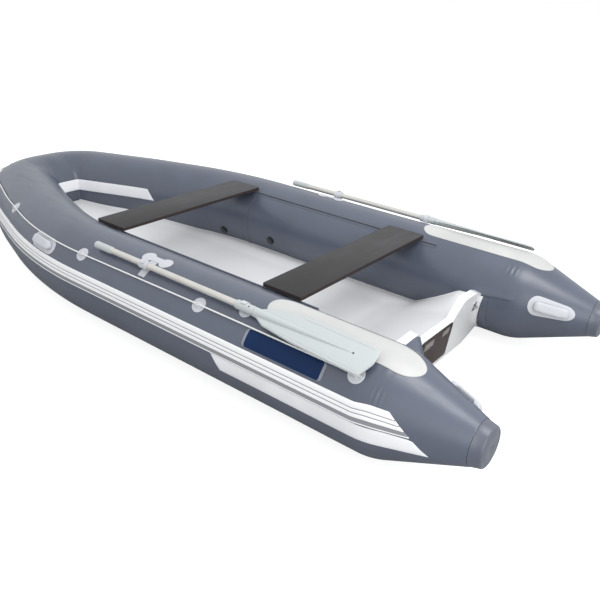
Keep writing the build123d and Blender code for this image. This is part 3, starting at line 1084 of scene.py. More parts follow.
    def copy(self) -> "Form":
        """A copy of the mesh.

        Returns:
            The copy.
        """
        twin = Form()
        twin.bm.free()
        twin.bm = self.bm.copy()
        twin.uv = twin.bm.loops.layers.uv["UVMap"]
        return twin

    def mirrored(self) -> "Form":
        """The same mesh on the other side of the boat.

        Returns:
            The mirrored copy.
        """
        twin = self.copy()
        bmesh.ops.scale(twin.bm, vec=(1, -1, 1), verts=twin.bm.verts[:])
        bmesh.ops.reverse_faces(twin.bm, faces=twin.bm.faces[:])
        return twin

    def both(self) -> "Form":
        """Adds the mirror image.

        Returns:
            This mesh.
        """
        return self.join(self.mirrored())

    def on(self, side: Side) -> "Form":
        """The mesh for a side, from the port one.

        Args:
            side: The side.

        Returns:
            This mesh or its mirror image.
        """
        return self.mirrored() if side is Side.STARBOARD else self

    def mark(self, index: int, chosen: Callable[[bmesh.types.BMFace], bool]) -> "Form":
        """Gives some faces another of the piece's materials.

        Args:
            index: Number of the material.
            chosen: Says which faces.

        Returns:
            This mesh.
        """
        self.bm.normal_update()
        for face in self.bm.faces:
            if chosen(face):
                face.material_index = index
        return self


def arc(x: float, y: float, radius: float, start: float, end: float, steps: int = 8) -> list[Point2]:
    """Points of an arc.

    Args:
        x: Centre.
        y: Centre.
        radius: Radius.
        start: First angle in degrees.
        end: Last angle in degrees.
        steps: Steps between them.

    Returns:
        The points.
    """
    angles = [math.radians(start + (end - start) * n / steps) for n in range(steps + 1)]
    return [(x + radius * math.cos(a), y + radius * math.sin(a)) for a in angles]


def rounded(corners: Sequence[tuple[float, float, float]], steps: int = 5) -> list[Point2]:
    """Polygon with rounded corners.

    Args:
        corners: x, y and radius of each corner.
        steps: Steps of each corner.

    Returns:
        The outline.
    """
    points: list[Point2] = []
    count = len(corners)
    for n, (x, y, radius) in enumerate(corners):
        here = Vector((x, y))
        back = (Vector(corners[n - 1][:2]) - here).normalized()
        ahead = (Vector(corners[(n + 1) % count][:2]) - here).normalized()
        half = back.angle(ahead, math.pi) / 2
        if radius <= 0 or half > math.radians(88):
            points.append((x, y))
            continue
        reach = radius / math.tan(half)
        a, b = here + back * reach, here + ahead * reach
        for k in range(steps + 1):
            t = k / steps
            p = a * (1 - t) ** 2 + here * 2 * t * (1 - t) + b * t ** 2
            points.append((p.x, p.y))
    return points


def panel(x: float, y: float, radius: float) -> list[Point2]:
    """Rectangle with rounded corners.

    Args:
        x: Half of its length.
        y: Half of its width.
        radius: Radius of the corners.

    Returns:
        The outline.
    """
    return rounded([(-x, -y, radius), (x, -y, radius), (x, y, radius), (-x, y, radius)])


def blunt(value: float, power: float = 0.62) -> float:
    """Swells a sine or cosine, which makes a circle squarer.

    Args:
        value: The sine or cosine.
        power: Less than one for a squarer form.

    Returns:
        The swollen value, of the same sign.
    """
    return math.copysign(abs(value) ** power, value)


def stadium(length: float, width: float, steps: int = 12) -> list[Point2]:
    """Outline with round ends.

    Args:
        length: Overall length along x.
        width: Width along y.
        steps: Steps of each end.

    Returns:
        The outline.
    """
    r = width / 2
    x = length / 2 - r
    return arc(x, 0, r, -90, 90, steps) + arc(-x, 0, r, 90, 270, steps)


def rod(points: Sequence[Vector], radius: float, sides: int = 12) -> Form:
    """A round bar along points.

    Args:
        points: Its centreline.
        radius: Its radius.
        sides: Steps round it.

    Returns:
        The mesh.
    """
    rows = []
    for n, point in enumerate(points):
        ahead = (points[min(n + 1, len(points) - 1)] - points[max(n - 1, 0)]).normalized()
        side = ahead.cross(Vector((0, 0, 1)))
        side = side.normalized() if side.length > 1e-3 else Vector((1, 0, 0))
        up = side.cross(ahead)
        turns = [math.tau * k / sides for k in range(sides)]
        rows.append([point + side * radius * math.cos(t) + up * radius * math.sin(t) for t in turns])
    return Form().skin(rows).outward()


# The yard that turns meshes into pieces


@dataclass
class Yard:
    """Makes the finishes and turns meshes into the pieces of the boat."""

    finishes: dict
    painted: dict = field(default_factory=dict)

    def material(self, key: Union[Slot, str]) -> bpy.types.Material:
        """The material of a finish, made once.

        Args:
            key: The finish's key.

        Returns:
            The material.
        """
        if key not in self.painted:
            name = key.value if isinstance(key, Slot) else key
            self.painted[key] = self.finishes[key].paint(name)
        return self.painted[key]

    def launch(self, form: Form, name: str, slot: Slot, nodes: Iterable[str], body: str = "boat",
               sharp: float = 40.0, extra: Sequence[Union[Slot, str]] = ()) -> bpy.types.Object:
        """Makes a piece of a mesh.

        Args:
            form: The mesh, which is used up.
            name: The piece's name.
            slot: Its finish.
            nodes: CAD nodes it stands for.
            body: CAD body it rides on.
            sharp: Angle in degrees above which an edge stays sharp.
            extra: Further finishes of marked faces.

        Returns:
            The piece.
        """
        mesh = bpy.data.meshes.new(name)
        form.bm.to_mesh(mesh)
        form.bm.free()
        mesh.polygons.foreach_set("use_smooth", [True] * len(mesh.polygons))
        mesh.set_sharp_from_angle(angle=math.radians(sharp))
        for key in (slot, *extra):
            mesh.materials.append(self.material(key))
        piece = bpy.data.objects.new(name, mesh)
        bpy.context.scene.collection.objects.link(piece)
        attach(piece, body)
        names = list(nodes)
        if names:
            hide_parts(*names)
        return piece

    def repaint(self) -> None:
        """Gives every CAD node that still shows its finish."""
        for part in frame["record"]["subparts"]:
            node = frame["nodes"][part["node"]]
            if node.hide_render:
                continue
            material = self.material(Slot(part["material_slot"]))
            for place in node.material_slots:
                place.material = material


# Sub-assemblies


@dataclass
class Tubes:
    """The three air chambers, the stern ends and their caps."""

    yard: Yard
    sides: int = 128
    step: float = 0.012
    pinch: float = 0.0004
    pinch_reach: float = 0.006
    cap_lip: float = 0.0008
    cap_edge: float = 0.010
    seams: tuple[float, ...] = field(init=False)

    def __post_init__(self) -> None:
        """Finds the seams that pinch the fabric."""
        baffle = COLLAR.run_at(BAFFLE_X)
        self.seams = (baffle, COLLAR.length - baffle)

    def chamber(self, start: float, end: float) -> Form:
        """One air chamber.

        Args:
            start: Run of its first seam.
            end: Run of its last seam.

        Returns:
            The mesh.
        """
        near = (0.0, 0.003, 0.006, 0.010)
        count = max(4, round((end - start) / self.step))
        runs = [start + (end - start) * n / count for n in range(count + 1)]
        runs += [start + v for v in near] + [end - v for v in near]
        for fold in COLLAR.folds:
            count = round(fold.waves * 16)
            ripple = [fold.run + fold.reach * (2 * n / count - 1) for n in range(count + 1)]
            runs += [run for here in ripple for run in (here, COLLAR.length - here) if start < run < end]
        runs = sorted({round(run, 4) for run in runs} | {start, end})
        rows = []
        for run in runs:
            pinch = sum(self.pinch * math.exp(-((run - seam) / self.pinch_reach) ** 2) for seam in self.seams)
            turns = [math.tau * k / self.sides for k in range(self.sides)]
            rows.append([COLLAR.place(run, turn, -pinch) for turn in turns])
        form = Form().skin(rows)
        for face in form.bm.faces:
            for loop in face.loops:
                loop[form.uv].uv = (loop.vert.co.x, loop.vert.co.z)
        return form.outward()

    def cap(self) -> Form:
        """Moulded cap of the port stern end.

        Returns:
            The mesh.
        """
        length, end, r = CAP_LENGTH, CAP_END_R, self.cap_edge
        lean = (CAP_R - end) / length
        side = [CAP_R + self.cap_lip - lean * z for z in (0.0, 0.003, 0.006)]
        profile = [(0.0, 0.0), (side[0] - 0.004, 0.0), (side[0], 0.0012), (side[1], 0.003),
                   (side[2] - 0.0014, 0.006)]
        profile += arc(end - r, length - r, r, 0, 90, 6)
        profile += [(end - 0.014, length), (end - 0.016, length - 0.0012), (end - 0.018, length)]
        profile += [(0.012, length), (0.010, length - 0.001), (0.0, length - 0.001)]
        form = Form().turn(profile, 64)
        matrix = Matrix(((0, 0, -1, CAP_X), (0, 1, 0, TUBE_Y), (1, 0, 0, TUBE_Z), (0, 0, 0, 1)))
        return form.seat(matrix).outward()

    def build(self) -> None:
        """Makes the pieces."""
        launch = self.yard.launch
        run, mirror = self.seams
        port = self.chamber(CONE_RUN, run)
        end = self.chamber(CAP_X - STERN_X + 0.0002, CONE_RUN)
        launch(self.chamber(run, mirror), "tube_skin_bow", Slot.FABRIC, ["tube_bow"], sharp=60)
        for side in Side:
            s = side.value
            launch(end.copy().on(side), f"cone_skin_{s}", Slot.FABRIC, [f"stern_cone_{s}"], sharp=60)
            launch(port.copy().on(side), f"tube_skin_{s}", Slot.FABRIC, [f"tube_{s}"], sharp=60)
            launch(self.cap().on(side), f"cap_{s}", Slot.CAP, [f"stern_cap_{s}"], sharp=35)


@dataclass
class Tapes:
    """Thin tapes and flaps glued over the seams of the tube."""

    yard: Yard
    reach: float = 0.016
    ring_x: float = -1.335
    flap_edge: tuple[tuple[float, float, float], ...] = (
        (-1.130, 174.0, 0.0004), (-1.190, 173.2, 0.0036), (-1.287, 171.2, 0.0056), (-1.391, 167.6, 0.0058),
        (-1.448, 166.2, 0.0048), (-1.462, 164.6, 0.0004))

    def band(self, x: float, low: float, high: float, thick: float) -> Form:
        """A tape across the tube between two angles.

        Args:
            x: Station of its middle.
            low: Lower angle in degrees.
            high: Upper angle in degrees.
            thick: Thickness.

        Returns:
            The mesh.
        """
        run, angle = x - STERN_X, (low + high) / 2
        half = math.radians(high - low) / 2 * COLLAR.radius(run)
        r = min(half, self.reach) * 0.3
        form = Form().plate(panel(self.reach, half, r), thick, thick * 0.45)
        return form.cut(0.03).cut(0.02, 1).lay_flat().wrap(run, angle)

    def flap(self) -> Form:
        """Wear flap on the inner side of the stern: its lower edge stands proud, its upper part blends in.

        Returns:
            The mesh.
        """
        rows = []
        for x, angle, thick in self.flap_edge:
            run = x - STERN_X
            skin = ((0.0, 0.0002), (0.0, thick * 0.7), (0.6, thick), (2.2, thick * 0.9), (6.0, thick * 0.5),
                    (12.0, 0.0002), (12.0, 0.0))
            rows.append([COLLAR.place(run, math.radians(angle - back), lift) for back, lift in skin])
        return Form().skin(rows).outward()

    def build(self) -> None:
        """Makes the pieces."""
        form = Form().join(self.band(BAFFLE_X, 112, 250, 0.0005))
        form.join(self.band(self.ring_x, 171.5, 222, 0.0040)).join(self.flap())
        self.yard.launch(form.both(), "seam_tapes", Slot.FABRIC, [], sharp=50)


@dataclass
class Strakes:
    """The ribbed rub strake round the tube."""

    yard: Yard
    low: float = 5.0
    high: float = 24.0
    profile: tuple[tuple[float, float], ...] = (
        (24.0, 0.0), (24.0, 5.6), (23.6, 6.7), (22.9, 7.1), (19.4, 7.1), (18.8, 6.7), (18.45, 5.2),
        (17.55, 5.2), (17.3, 6.7), (16.8, 7.1), (15.3, 7.1), (14.8, 6.7), (14.55, 5.2),
        (13.65, 5.2), (13.4, 6.7), (13.0, 7.1), (10.9, 7.1), (10.4, 6.7), (10.1, 4.6),
        (6.3, 4.6), (6.1, 6.4), (5.7, 6.9), (5.2, 6.4), (5.0, 4.6), (5.0, 0.0))
    rise: tuple[tuple[float, float, float], ...] = (
        (0.055, 0.0, 0.0), (0.0, 1.0, 3.0), (-0.055, 1.0, 3.8), (-0.185, 0.5, 4.0))
    end: tuple[Point2, Point2] = ((-1.516, 0.095), (-1.611, 0.010))

    def turned(self, run: float, angle: float) -> float:
        """Angle of a rib once the strake has climbed the stern end.

        Args:
            run: Its run.
            angle: Its angle on the straight tube.

        Returns:
            The angle.
        """
        if run >= self.rise[0][0]:
            return angle
        share = (angle - self.low) / (self.high - self.low)
        for (a, low0, top0), (b, low1, top1) in zip(self.rise, self.rise[1:]):
            if run >= b or b == self.rise[-1][0]:
                t = (run - a) / (b - a)
                low = low0 + (low1 - low0) * t
                top = top0 + (top1 - top0) * t
                return angle + low + (top - low) * share
        return angle

    def length(self, start: float, end: float) -> Form:
        """A length of strake.

        Args:
            start: First run.
            end: Last run.

        Returns:
            The mesh.
        """
        count = max(2, round((end - start) / 0.02))
        rows, flat = [], []
        for n in range(count + 1):
            run = start + (end - start) * n / count
            row = []
            for angle, height in self.profile:
                turn = math.radians(self.turned(run, angle))
                row.append(COLLAR.place(run, turn, GLUE + height / 1000))
            rows.append(row)
            flat.append([(run, math.radians(angle) * TUBE_R) for angle, _ in self.profile])
        form = Form()
        bm = form.bm
        made = [[bm.verts.new(p) for p in row] for row in rows]
        width = len(self.profile)
        for i in range(count):
            for j in range(width):
                k = (j + 1) % width
                face = bm.faces.new((made[i][j], made[i][k], made[i + 1][k], made[i + 1][j]))
                for loop, (a, b) in zip(face.loops, ((i, j), (i, k), (i + 1, k), (i + 1, j))):
                    loop[form.uv].uv = flat[a][b]
        for row, spots in ((made[0], flat[0]), (made[-1], flat[-1])):
            face = bm.faces.new(row)
            for loop, spot in zip(face.loops, spots):
                loop[form.uv].uv = spot
        return form.outward()

    def build(self) -> None:
        """Makes the pieces."""
        run = COLLAR.run_at(BAFFLE_X)
        port = self.length(self.rise[-1][0], run - 0.0004)
        top, foot = (Vector((x, 0, TUBE_Z + height)) for x, height in self.end)
        slant = (foot - top).cross(Vector((0, 1, 0)))
        port.trim(top, slant if slant.x < 0 else -slant)
        port.outward()
        bow = self.length(run + 0.0004, COLLAR.length - run - 0.0004)
        for side in Side:
            name = side.value
            self.yard.launch(port.copy().on(side), f"rub_strake_{name}", Slot.STRAKE, [f"strake_{name}"],
                             sharp=35)
        self.yard.launch(bow, "rub_strake_bow", Slot.STRAKE, ["strake_bow"], sharp=35)


@dataclass
class FabricWork:
    """Panels, plates, pads and bands of fabric glued on the tube."""

    yard: Yard

    def panel(self) -> Form:
        """Tapered side panel under the strake.

        Returns:
            The mesh.
        """
        outline = [(-728, 14), (-775, -47), (-1400, -47), (-1560, -49), (-1669, -50), (-1617, 3), (-1600, 8),
                   (-1510, 15), (-1400, 14)]
        points = []
        for n, (x, h) in enumerate(outline):
            x1, h1 = outline[(n + 1) % len(outline)]
            count = max(1, int(math.hypot(x1 - x, h1 - h) / 25))
            for k in range(count):
                points.append(((x + (x1 - x) * k / count) / 1000, (h + (h1 - h) * k / count) / 1000))
        form = Form().plate([(x - STERN_X, -h) for x, h in points], 0.0011, 0.0005)
        form.cut(0.03).cut(0.02, 1).lay_flat()

        def lay(co: Vector) -> Vector:
            """Wraps a point of the side view on the tube.

            Args:
                co: The point.

            Returns:
                The point on the skin.
            """
            radius = COLLAR.radius(co.x)
            return COLLAR.place(co.x, math.asin(max(-1.0, min(1.0, -co.y / radius))), GLUE + co.z)

        return form.shape(lay).outward()

    def build(self) -> None:
        """Makes the pieces."""
        launch = self.yard.launch
        launch(self.panel().both(), "side_panel_skins", Slot.WHITE, ["side_panels"], sharp=50)
        low, high = 158, 176
        middle = COLLAR.length / 2
        upper, lower = middle - COLLAR.run_at(1.010), middle - COLLAR.run_at(0.960)
        half = math.radians(high - low) / 2 * TUBE_R
        outline = [(-lower, -half), (lower, -half), (upper, half), (-upper, half)]
        band = Form().plate(outline, WALL, 0.0004)
        band.cut(0.012).cut(0.02, 1).lay_flat().wrap(middle, (low + high) / 2)
        launch(band, "bow_band_skin", Slot.WHITE, ["bow_band"], sharp=50)
        length, width = 0.690, 0.164
        pad = Form().plate(stadium(length, width, 24), 0.0026, 0.0014, 3)
        pad.cut(0.02).cut(0.02, 1).lay_flat().wrap(-1.212 - STERN_X, 88)
        launch(pad.both(), "top_pad_skins", Slot.PAD, ["stern_top_pads"], sharp=50)
        half = math.radians(46 - 27) / 2 * TUBE_R
        r = 0.012
        outline = rounded([(-0.18, -half, r), (0.18, -half, r), (0.18, half, r), (-0.18, half, r)])
        plate = Form().plate(outline, 0.0011, 0.0004).cut(0.02).cut(0.015, 1).lay_flat()
        film = Form().plate([(x * 1.065, y * 0.99) for x, y in outline], 0.0006, 0.0002)
        film.cut(0.02).cut(0.015, 1).mark(1, lambda face: True).lay_flat()
        plate.join(film).wrap(-1.060 - STERN_X, 36.5)
        launch(plate.both(), "blank_plate_skins", Slot.BLUE, ["blank_plates"], sharp=50, extra=["clear_film"])


@dataclass
class LinerPan:
    """The moulded cockpit liner and the bead where it meets the tube."""

    yard: Yard
    stations: tuple[tuple[float, ...], ...] = (
        (-1.290, 0.226, 0.188, 0.400, 0.268, 0.270), (-1.206, 0.202, 0.232, 0.398, 0.262, 0.270),
        (-0.948, 0.112, 0.300, 0.436, 0.098, 0.099), (-0.840, 0.085, 0.340, 0.436, 0.097, 0.099),
        (0.640, 0.085, 0.315, 0.398, 0.097, 0.100), (1.100, 0.140, 0.178, 0.208, 0.156, 0.160),
        (1.430, 0.180, 0.096, 0.118, 0.185, 0.186), (1.560, 0.180, 0.096, 0.118, 0.185, 0.186))
    rim_y: float = 0.520

    def height(self, x: float, y: float) -> float:
        """Height of the moulding before its creases are softened.

        Args:
            x: Station.
            y: Distance from the centre plane.

        Returns:
            The height.
        """
        pairs = list(zip(self.stations, self.stations[1:]))
        a, b = next((p for p in pairs if x <= p[1][0]), pairs[-1])
        t = min(1.0, max(0.0, (x - a[0]) / (b[0] - a[0])))
        floor_z, floor_y, ledge_y, ledge_z, rim_z = (p + (q - p) * t for p, q in zip(a[1:], b[1:]))
        y = abs(y)
        for y0, z0, y1, z1 in ((0, floor_z, floor_y, floor_z), (floor_y, floor_z, ledge_y, ledge_z),
                               (ledge_y, ledge_z, self.rim_y, rim_z)):
            if y <= y1:
                return z0 + (z1 - z0) * (y - y0) / (y1 - y0)
        return rim_z

    def soft(self, x: float, y: float) -> float:
        """Height with soft creases.

        Args:
            x: Station.
            y: Distance from the centre plane.

        Returns:
            The height.
        """
        aside = (-0.010, -0.005, 0.0, 0.005, 0.010)
        spots = [(x + dx, y + dy) for dx in (-0.012, 0.0, 0.012) for dy in aside]
        return sum(self.height(*spot) for spot in spots) / len(spots)

    def joint(self, x: float) -> float:
        """Half-width where the liner meets the tube.

        Args:
            x: Station.

        Returns:
            The half-width, or nought where it is all inside the tube.
        """
        low, high = 0.0, self.rim_y
        if COLLAR.clearance(Vector((x, 0, self.soft(x, 0)))) < 0:
            return 0.0
        for _ in range(18):
            middle = (low + high) / 2
            clear = COLLAR.clearance(Vector((x, middle, self.soft(x, middle))))
            low, high = (middle, high) if clear > 0 else (low, middle)
        return low

    def build(self) -> None:
        """Makes the pieces."""
        step, columns = 0.020, 56
        stations = [TRANSOM_X + step * n for n in range(int((1.42 - TRANSOM_X) / step) + 1)]
        rows, edge = [], []
        for x in stations:
            width = self.joint(x)
            if width <= 0:
                break
            edge.append(Vector((x, width, self.soft(x, width))))
            reach = width + 0.016
            row = []
            for n in range(columns + 1):
                y = reach * (2 * n / columns - 1)
                z = self.soft(x, y)
                lean = (z - CUT_Z) * TRANSOM_RAKE if x < TRANSOM_X + step / 2 else 0.0
                row.append(Vector((x - lean + (0.0005 if lean else 0.0), y, z)))
            rows.append(row)
        form = Form().skin(rows, ring=False, caps=False)
        bmesh.ops.recalc_face_normals(form.bm, faces=form.bm.faces[:])
        if sum(f.normal.z for f in form.bm.faces) < 0:
            bmesh.ops.reverse_faces(form.bm, faces=form.bm.faces[:])
        bmesh.ops.solidify(form.bm, geom=form.bm.faces[:], thickness=0.005)
        self.yard.launch(form.outward(), "liner_pan", Slot.GELCOAT, ["deck_liner"], sharp=60)
        edge[0].x -= (edge[0].z - CUT_Z) * TRANSOM_RAKE
        bead = rod(edge, 0.0035, 8)
        self.yard.launch(bead.both(), "joint_beads", Slot.WHITE, [], sharp=60)


@dataclass
class TransomBoard:
    """The raked transom, its motor plate and the fabric flap at its port corner."""

    yard: Yard

    def frame(self, depth: float) -> Matrix:
        """Frame of a plane of the board: x to port, y up the board, z forward.

        Args:
            depth: Distance aft of the forward face.

        Returns:
            The frame.
        """
        lean = math.atan(TRANSOM_RAKE)
        c, s = math.cos(lean), math.sin(lean)
        return Matrix(((0, -s, c, TRANSOM_X - depth * c), (1, 0, 0, 0),
                       (0, c, s, CUT_Z - depth * s), (0, 0, 0, 1)))

    def up(self, z: float, depth: float = 0.0) -> float:
        """Distance up the board of a height.

        Args:
            z: The height.
            depth: Distance aft of the forward face.

        Returns:
            The distance from the lowered edge.
        """
        lean = math.atan(TRANSOM_RAKE)
        return (z - CUT_Z + depth * math.sin(lean)) / math.cos(lean)

    def board(self) -> Form:
        """The board, with a raised corner on each side of its lowered middle.

        Returns:
            The mesh.
        """
        skin = arc(TUBE_Y, TUBE_Z, TUBE_R + GLUE, 235.5, 167.0, 24)
        horn = rounded([(0.4055, 0.286, 0.0), (0.340, 0.312, 0.10), (0.212, 0.319, 0.046),
                        (0.142, CUT_Z, 0.012), (0.120, CUT_Z, 0.0)], 8)
        outline = [(y, self.up(z)) for y, z in [(0.020, -0.124)] + skin + horn]
        outline += [(-y, v) for y, v in reversed(outline)]
        form = Form().plate(outline, TRANSOM_T)
        tops = [e for e in form.bm.edges if abs(e.verts[0].co.z - e.verts[1].co.z) < 1e-6
                and min(v.co.y for v in e.verts) > self.up(0.225) and abs(e.verts[0].co.x) < 0.405]
        return form.soften(tops, 0.005, 3).lay_flat().seat(self.frame(TRANSOM_T)).outward()

    def corner_flap(self) -> Form:
        """The sheet of fabric between the port corner of the board and the port tube.

        Returns:
            The mesh.
        """
        plane = self.frame(TRANSOM_T + 0.0012)
        rim = [(0.400, 0.284), (0.372, 0.293), (0.335, 0.301), (0.290, 0.307), (0.250, 0.309), (0.215, 0.301),
               (0.190, 0.285), (0.174, 0.262), (0.164, 0.232)]
        steps = [k / 8 for k in range(9)]
        rows = []
        for number, (y, z) in enumerate(rim):
            share = number / (len(rim) - 1)
            fixed = plane @ Vector((y, self.up(z, TRANSOM_T), 0.0))
            run = -1.345 - 0.165 * share - STERN_X
            skin = COLLAR.place(run, math.radians(168.0 - 4.0 * share), 0.0015)
            sag = 0.016 * share
            rows.append([fixed.lerp(skin, t) - Vector((0, 0, sag * math.sin(math.pi * t))) for t in steps])
        flap = Form().skin(rows, ring=False, caps=False).outward()
        bmesh.ops.solidify(flap.bm, geom=flap.bm.faces[:], thickness=0.0022)
        return flap.outward()

    def motor_plate(self) -> Form:
        """The plate that a motor's clamp bears on.

        Returns:
            The mesh.
        """
        top, low = (0.137, self.up(0.228, TRANSOM_T)), (0.170, self.up(0.032, TRANSOM_T))
        r = 0.014
        outline = rounded([(*top, r), (-top[0], top[1], r), (-low[0], low[1], r), (*low, r)])
        pad = Form().plate(outline, 0.006, 0.0025, 3)
        pad.mark(1, lambda face: face.normal.z < 0.9)
        return pad.seat(self.frame(TRANSOM_T) @ Matrix.Scale(-1, 4, (0, 0, 1))).outward()

    def build(self) -> None:
        """Makes the pieces."""
        launch = self.yard.launch
        launch(self.board(), "transom_board", Slot.GELCOAT, ["transom"], sharp=40)
        launch(self.corner_flap(), "corner_flap", Slot.FABRIC, [], sharp=50)
        launch(self.motor_plate(), "motor_plate", Slot.MOTOR_PAD, ["motor_pad"], sharp=50, extra=[Slot.VALVE])


@dataclass
class Benches:
    """The two plank benches that slide on their tracks."""

    yard: Yard
    places: tuple[tuple[str, float], ...] = (("front", 0.306), ("rear", -0.816))
    corner_r: float = 0.007
    edge_r: float = 0.0016

    def build(self) -> None:
        """Makes the pieces."""
        for name, x in self.places:
            low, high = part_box(f"bench_{name}")
            dx, dy = (high.x - low.x) / 2, (high.y - low.y) / 2
            board = Form().plate(panel(dx, dy, self.corner_r), high.z - low.z, self.edge_r, 2)
            board.soften([e for e in board.bm.edges if max(v.co.z for v in e.verts) < 1e-6], self.edge_r, 2)
            board.mark(1, lambda face: abs(face.normal.z) < 0.6)
            board.seat(Matrix.Translation((x, 0, low.z)))
            self.yard.launch(board, f"bench_board_{name}", Slot.BENCH, [f"bench_{name}"],
                             f"bench_{name}_board", sharp=50, extra=["ply_edge"])


@dataclass
class Oars:
    """The stowed oars."""

    yard: Yard
    angle: float = 62.0
    lift: float = 0.026
    shaft_r: float = 0.014
    shaft_end: float = -0.775
    root: float = -0.868

    def frame(self, x: float) -> Matrix:
        """Frame on the port oar's axis: x forward, y outboard and down, z off the tube.

        Args:
            x: Station.

        Returns:
            The frame.
        """
        turn = math.radians(self.angle)
        c, s = math.cos(turn), math.sin(turn)
        reach = TUBE_R + self.lift
        return Matrix(((1, 0, 0, x), (0, s, c, TUBE_Y + reach * c),
                       (0, -c, s, TUBE_Z + reach * s), (0, 0, 0, 1)))

    def turned(self, profile: Sequence[Point2]) -> Form:
        """A part turned about the oar's axis.

        Args:
            profile: Radius and station, ends on the axis.

        Returns:
            The mesh.
        """
        along = Matrix(((0, 0, 1, 0), (0, 1, 0, 0), (-1, 0, 0, 0), (0, 0, 0, 1)))
        return Form().turn(profile, 40).seat(self.frame(0.0) @ along).outward()

    def blade(self) -> Form:
        """The blade, with its spine and the groove along each edge.

        Returns:
            The mesh.
        """
        root = self.root
        outline = rounded([
            (root, 0.018, 0.0), (-0.890, 0.020, 0.02), (-0.938, 0.0425, 0.05), (-1.086, 0.0590, 0.20),
            (-1.390, 0.0730, 0.016), (-1.415, 0.010, 0.05), (-1.410, -0.0560, 0.022), (-1.082, -0.0620, 0.20),
            (-0.938, -0.0425, 0.05), (-0.890, -0.020, 0.02), (root, -0.018, 0.0)], 8)
        form = Form().plate(outline, 0.0062, 0.0022, 3, base=-0.0031)
        lows = [e for e in form.bm.edges if max(v.co.z for v in e.verts) < -0.003]
        form.soften(lows, 0.0022, 3)
        rows = []
        for n in range(37):
            share = n / 36
            x = root - 0.003 - 0.478 * share
            half = 0.0175 * (1 - share) ** 0.8 + 0.0015
            high = 0.0150 * (1 - share) ** 0.6 + 0.0020
            turns = [math.tau * k / 28 for k in range(28)]
            rows.append([Vector((x, half * math.cos(t), high * math.sin(t))) for t in turns])
        form.join(Form().skin(rows))
        for start, end, near, far in ((-1.076, -1.392, -0.0525, -0.0455), (-0.960, -1.385, 0.0400, 0.0605)):
            length = start - end
            for lift in (-1, 1):
                bead = Form().plate(stadium(length, 0.0026, 4), 0.0009, 0.0004, 2, base=0.0030).cut(0.02)
                for vert in bead.bm.verts:
                    x, y, z = vert.co
                    aside = near + (far - near) * (0.5 - x / length)
                    vert.co = (start + x - length / 2, y + aside, z * lift)
                form.join(bead)
        # A black plug through the blade: painted shade standing for the dark hole.
        hole_shade = Form().turn([(0.0, -0.0045), (0.0034, -0.0045), (0.0034, 0.0045), (0.0, 0.0045)], 16)
        form.join(hole_shade.mark(1, lambda face: True).seat(Matrix.Translation((-1.330, 0.0006, 0.0))))
        return form.lay_flat().seat(self.frame(0.0)).outward()

    def build(self) -> None:
        """Makes the pieces."""
        r = self.shaft_r
        top = self.shaft_end
        shaft = self.turned([(0.0, top), (r, top), (r, 0.0), (0.0, 0.0)])
        g = 0.017
        grip = [(0.0, 0.0), (r + 0.001, 0.0), (g, 0.004)]
        for n in range(5):
            x = 0.014 + n * 0.018
            grip += [(g, x), (g - 0.0012, x + 0.003), (g - 0.0012, x + 0.006), (g, x + 0.009)]
        grip += arc(g - 0.007, 0.108, 0.007, 0, 90, 5) + [(0.0, 0.115)]
        root, thick, inner = self.root, 0.019, 0.016
        neck = [(0.0, root), (inner, root), (thick, root + 0.003), (thick, top - 0.003), (inner, top),
                (0.0, top)]
        # A black disc on the neck: painted shade standing for the dark rivet hole.
        rivet_hole_shade = Form().turn([(0.0, 0.018), (0.0032, 0.018), (0.0030, 0.0198), (0.0, 0.0201)], 16)
        rivet_hole_shade.mark(1, lambda face: True).seat(self.frame(-0.8457)).outward()
        parts = (("shaft", shaft, Slot.ALLOY), ("grip", self.turned(grip), Slot.OAR),
                 ("neck", self.turned(neck).join(rivet_hole_shade), Slot.OAR), ("blade", self.blade(), Slot.OAR))
        launch = self.yard.launch
        for side in Side:
            s = side.value
            for name, form, slot in parts:
                launch(form.copy().on(side), f"oar_{name}_form_{s}", slot, [f"oar_{name}_{s}"], f"oar_{s}",
                       sharp=38, extra=[Slot.VALVE])


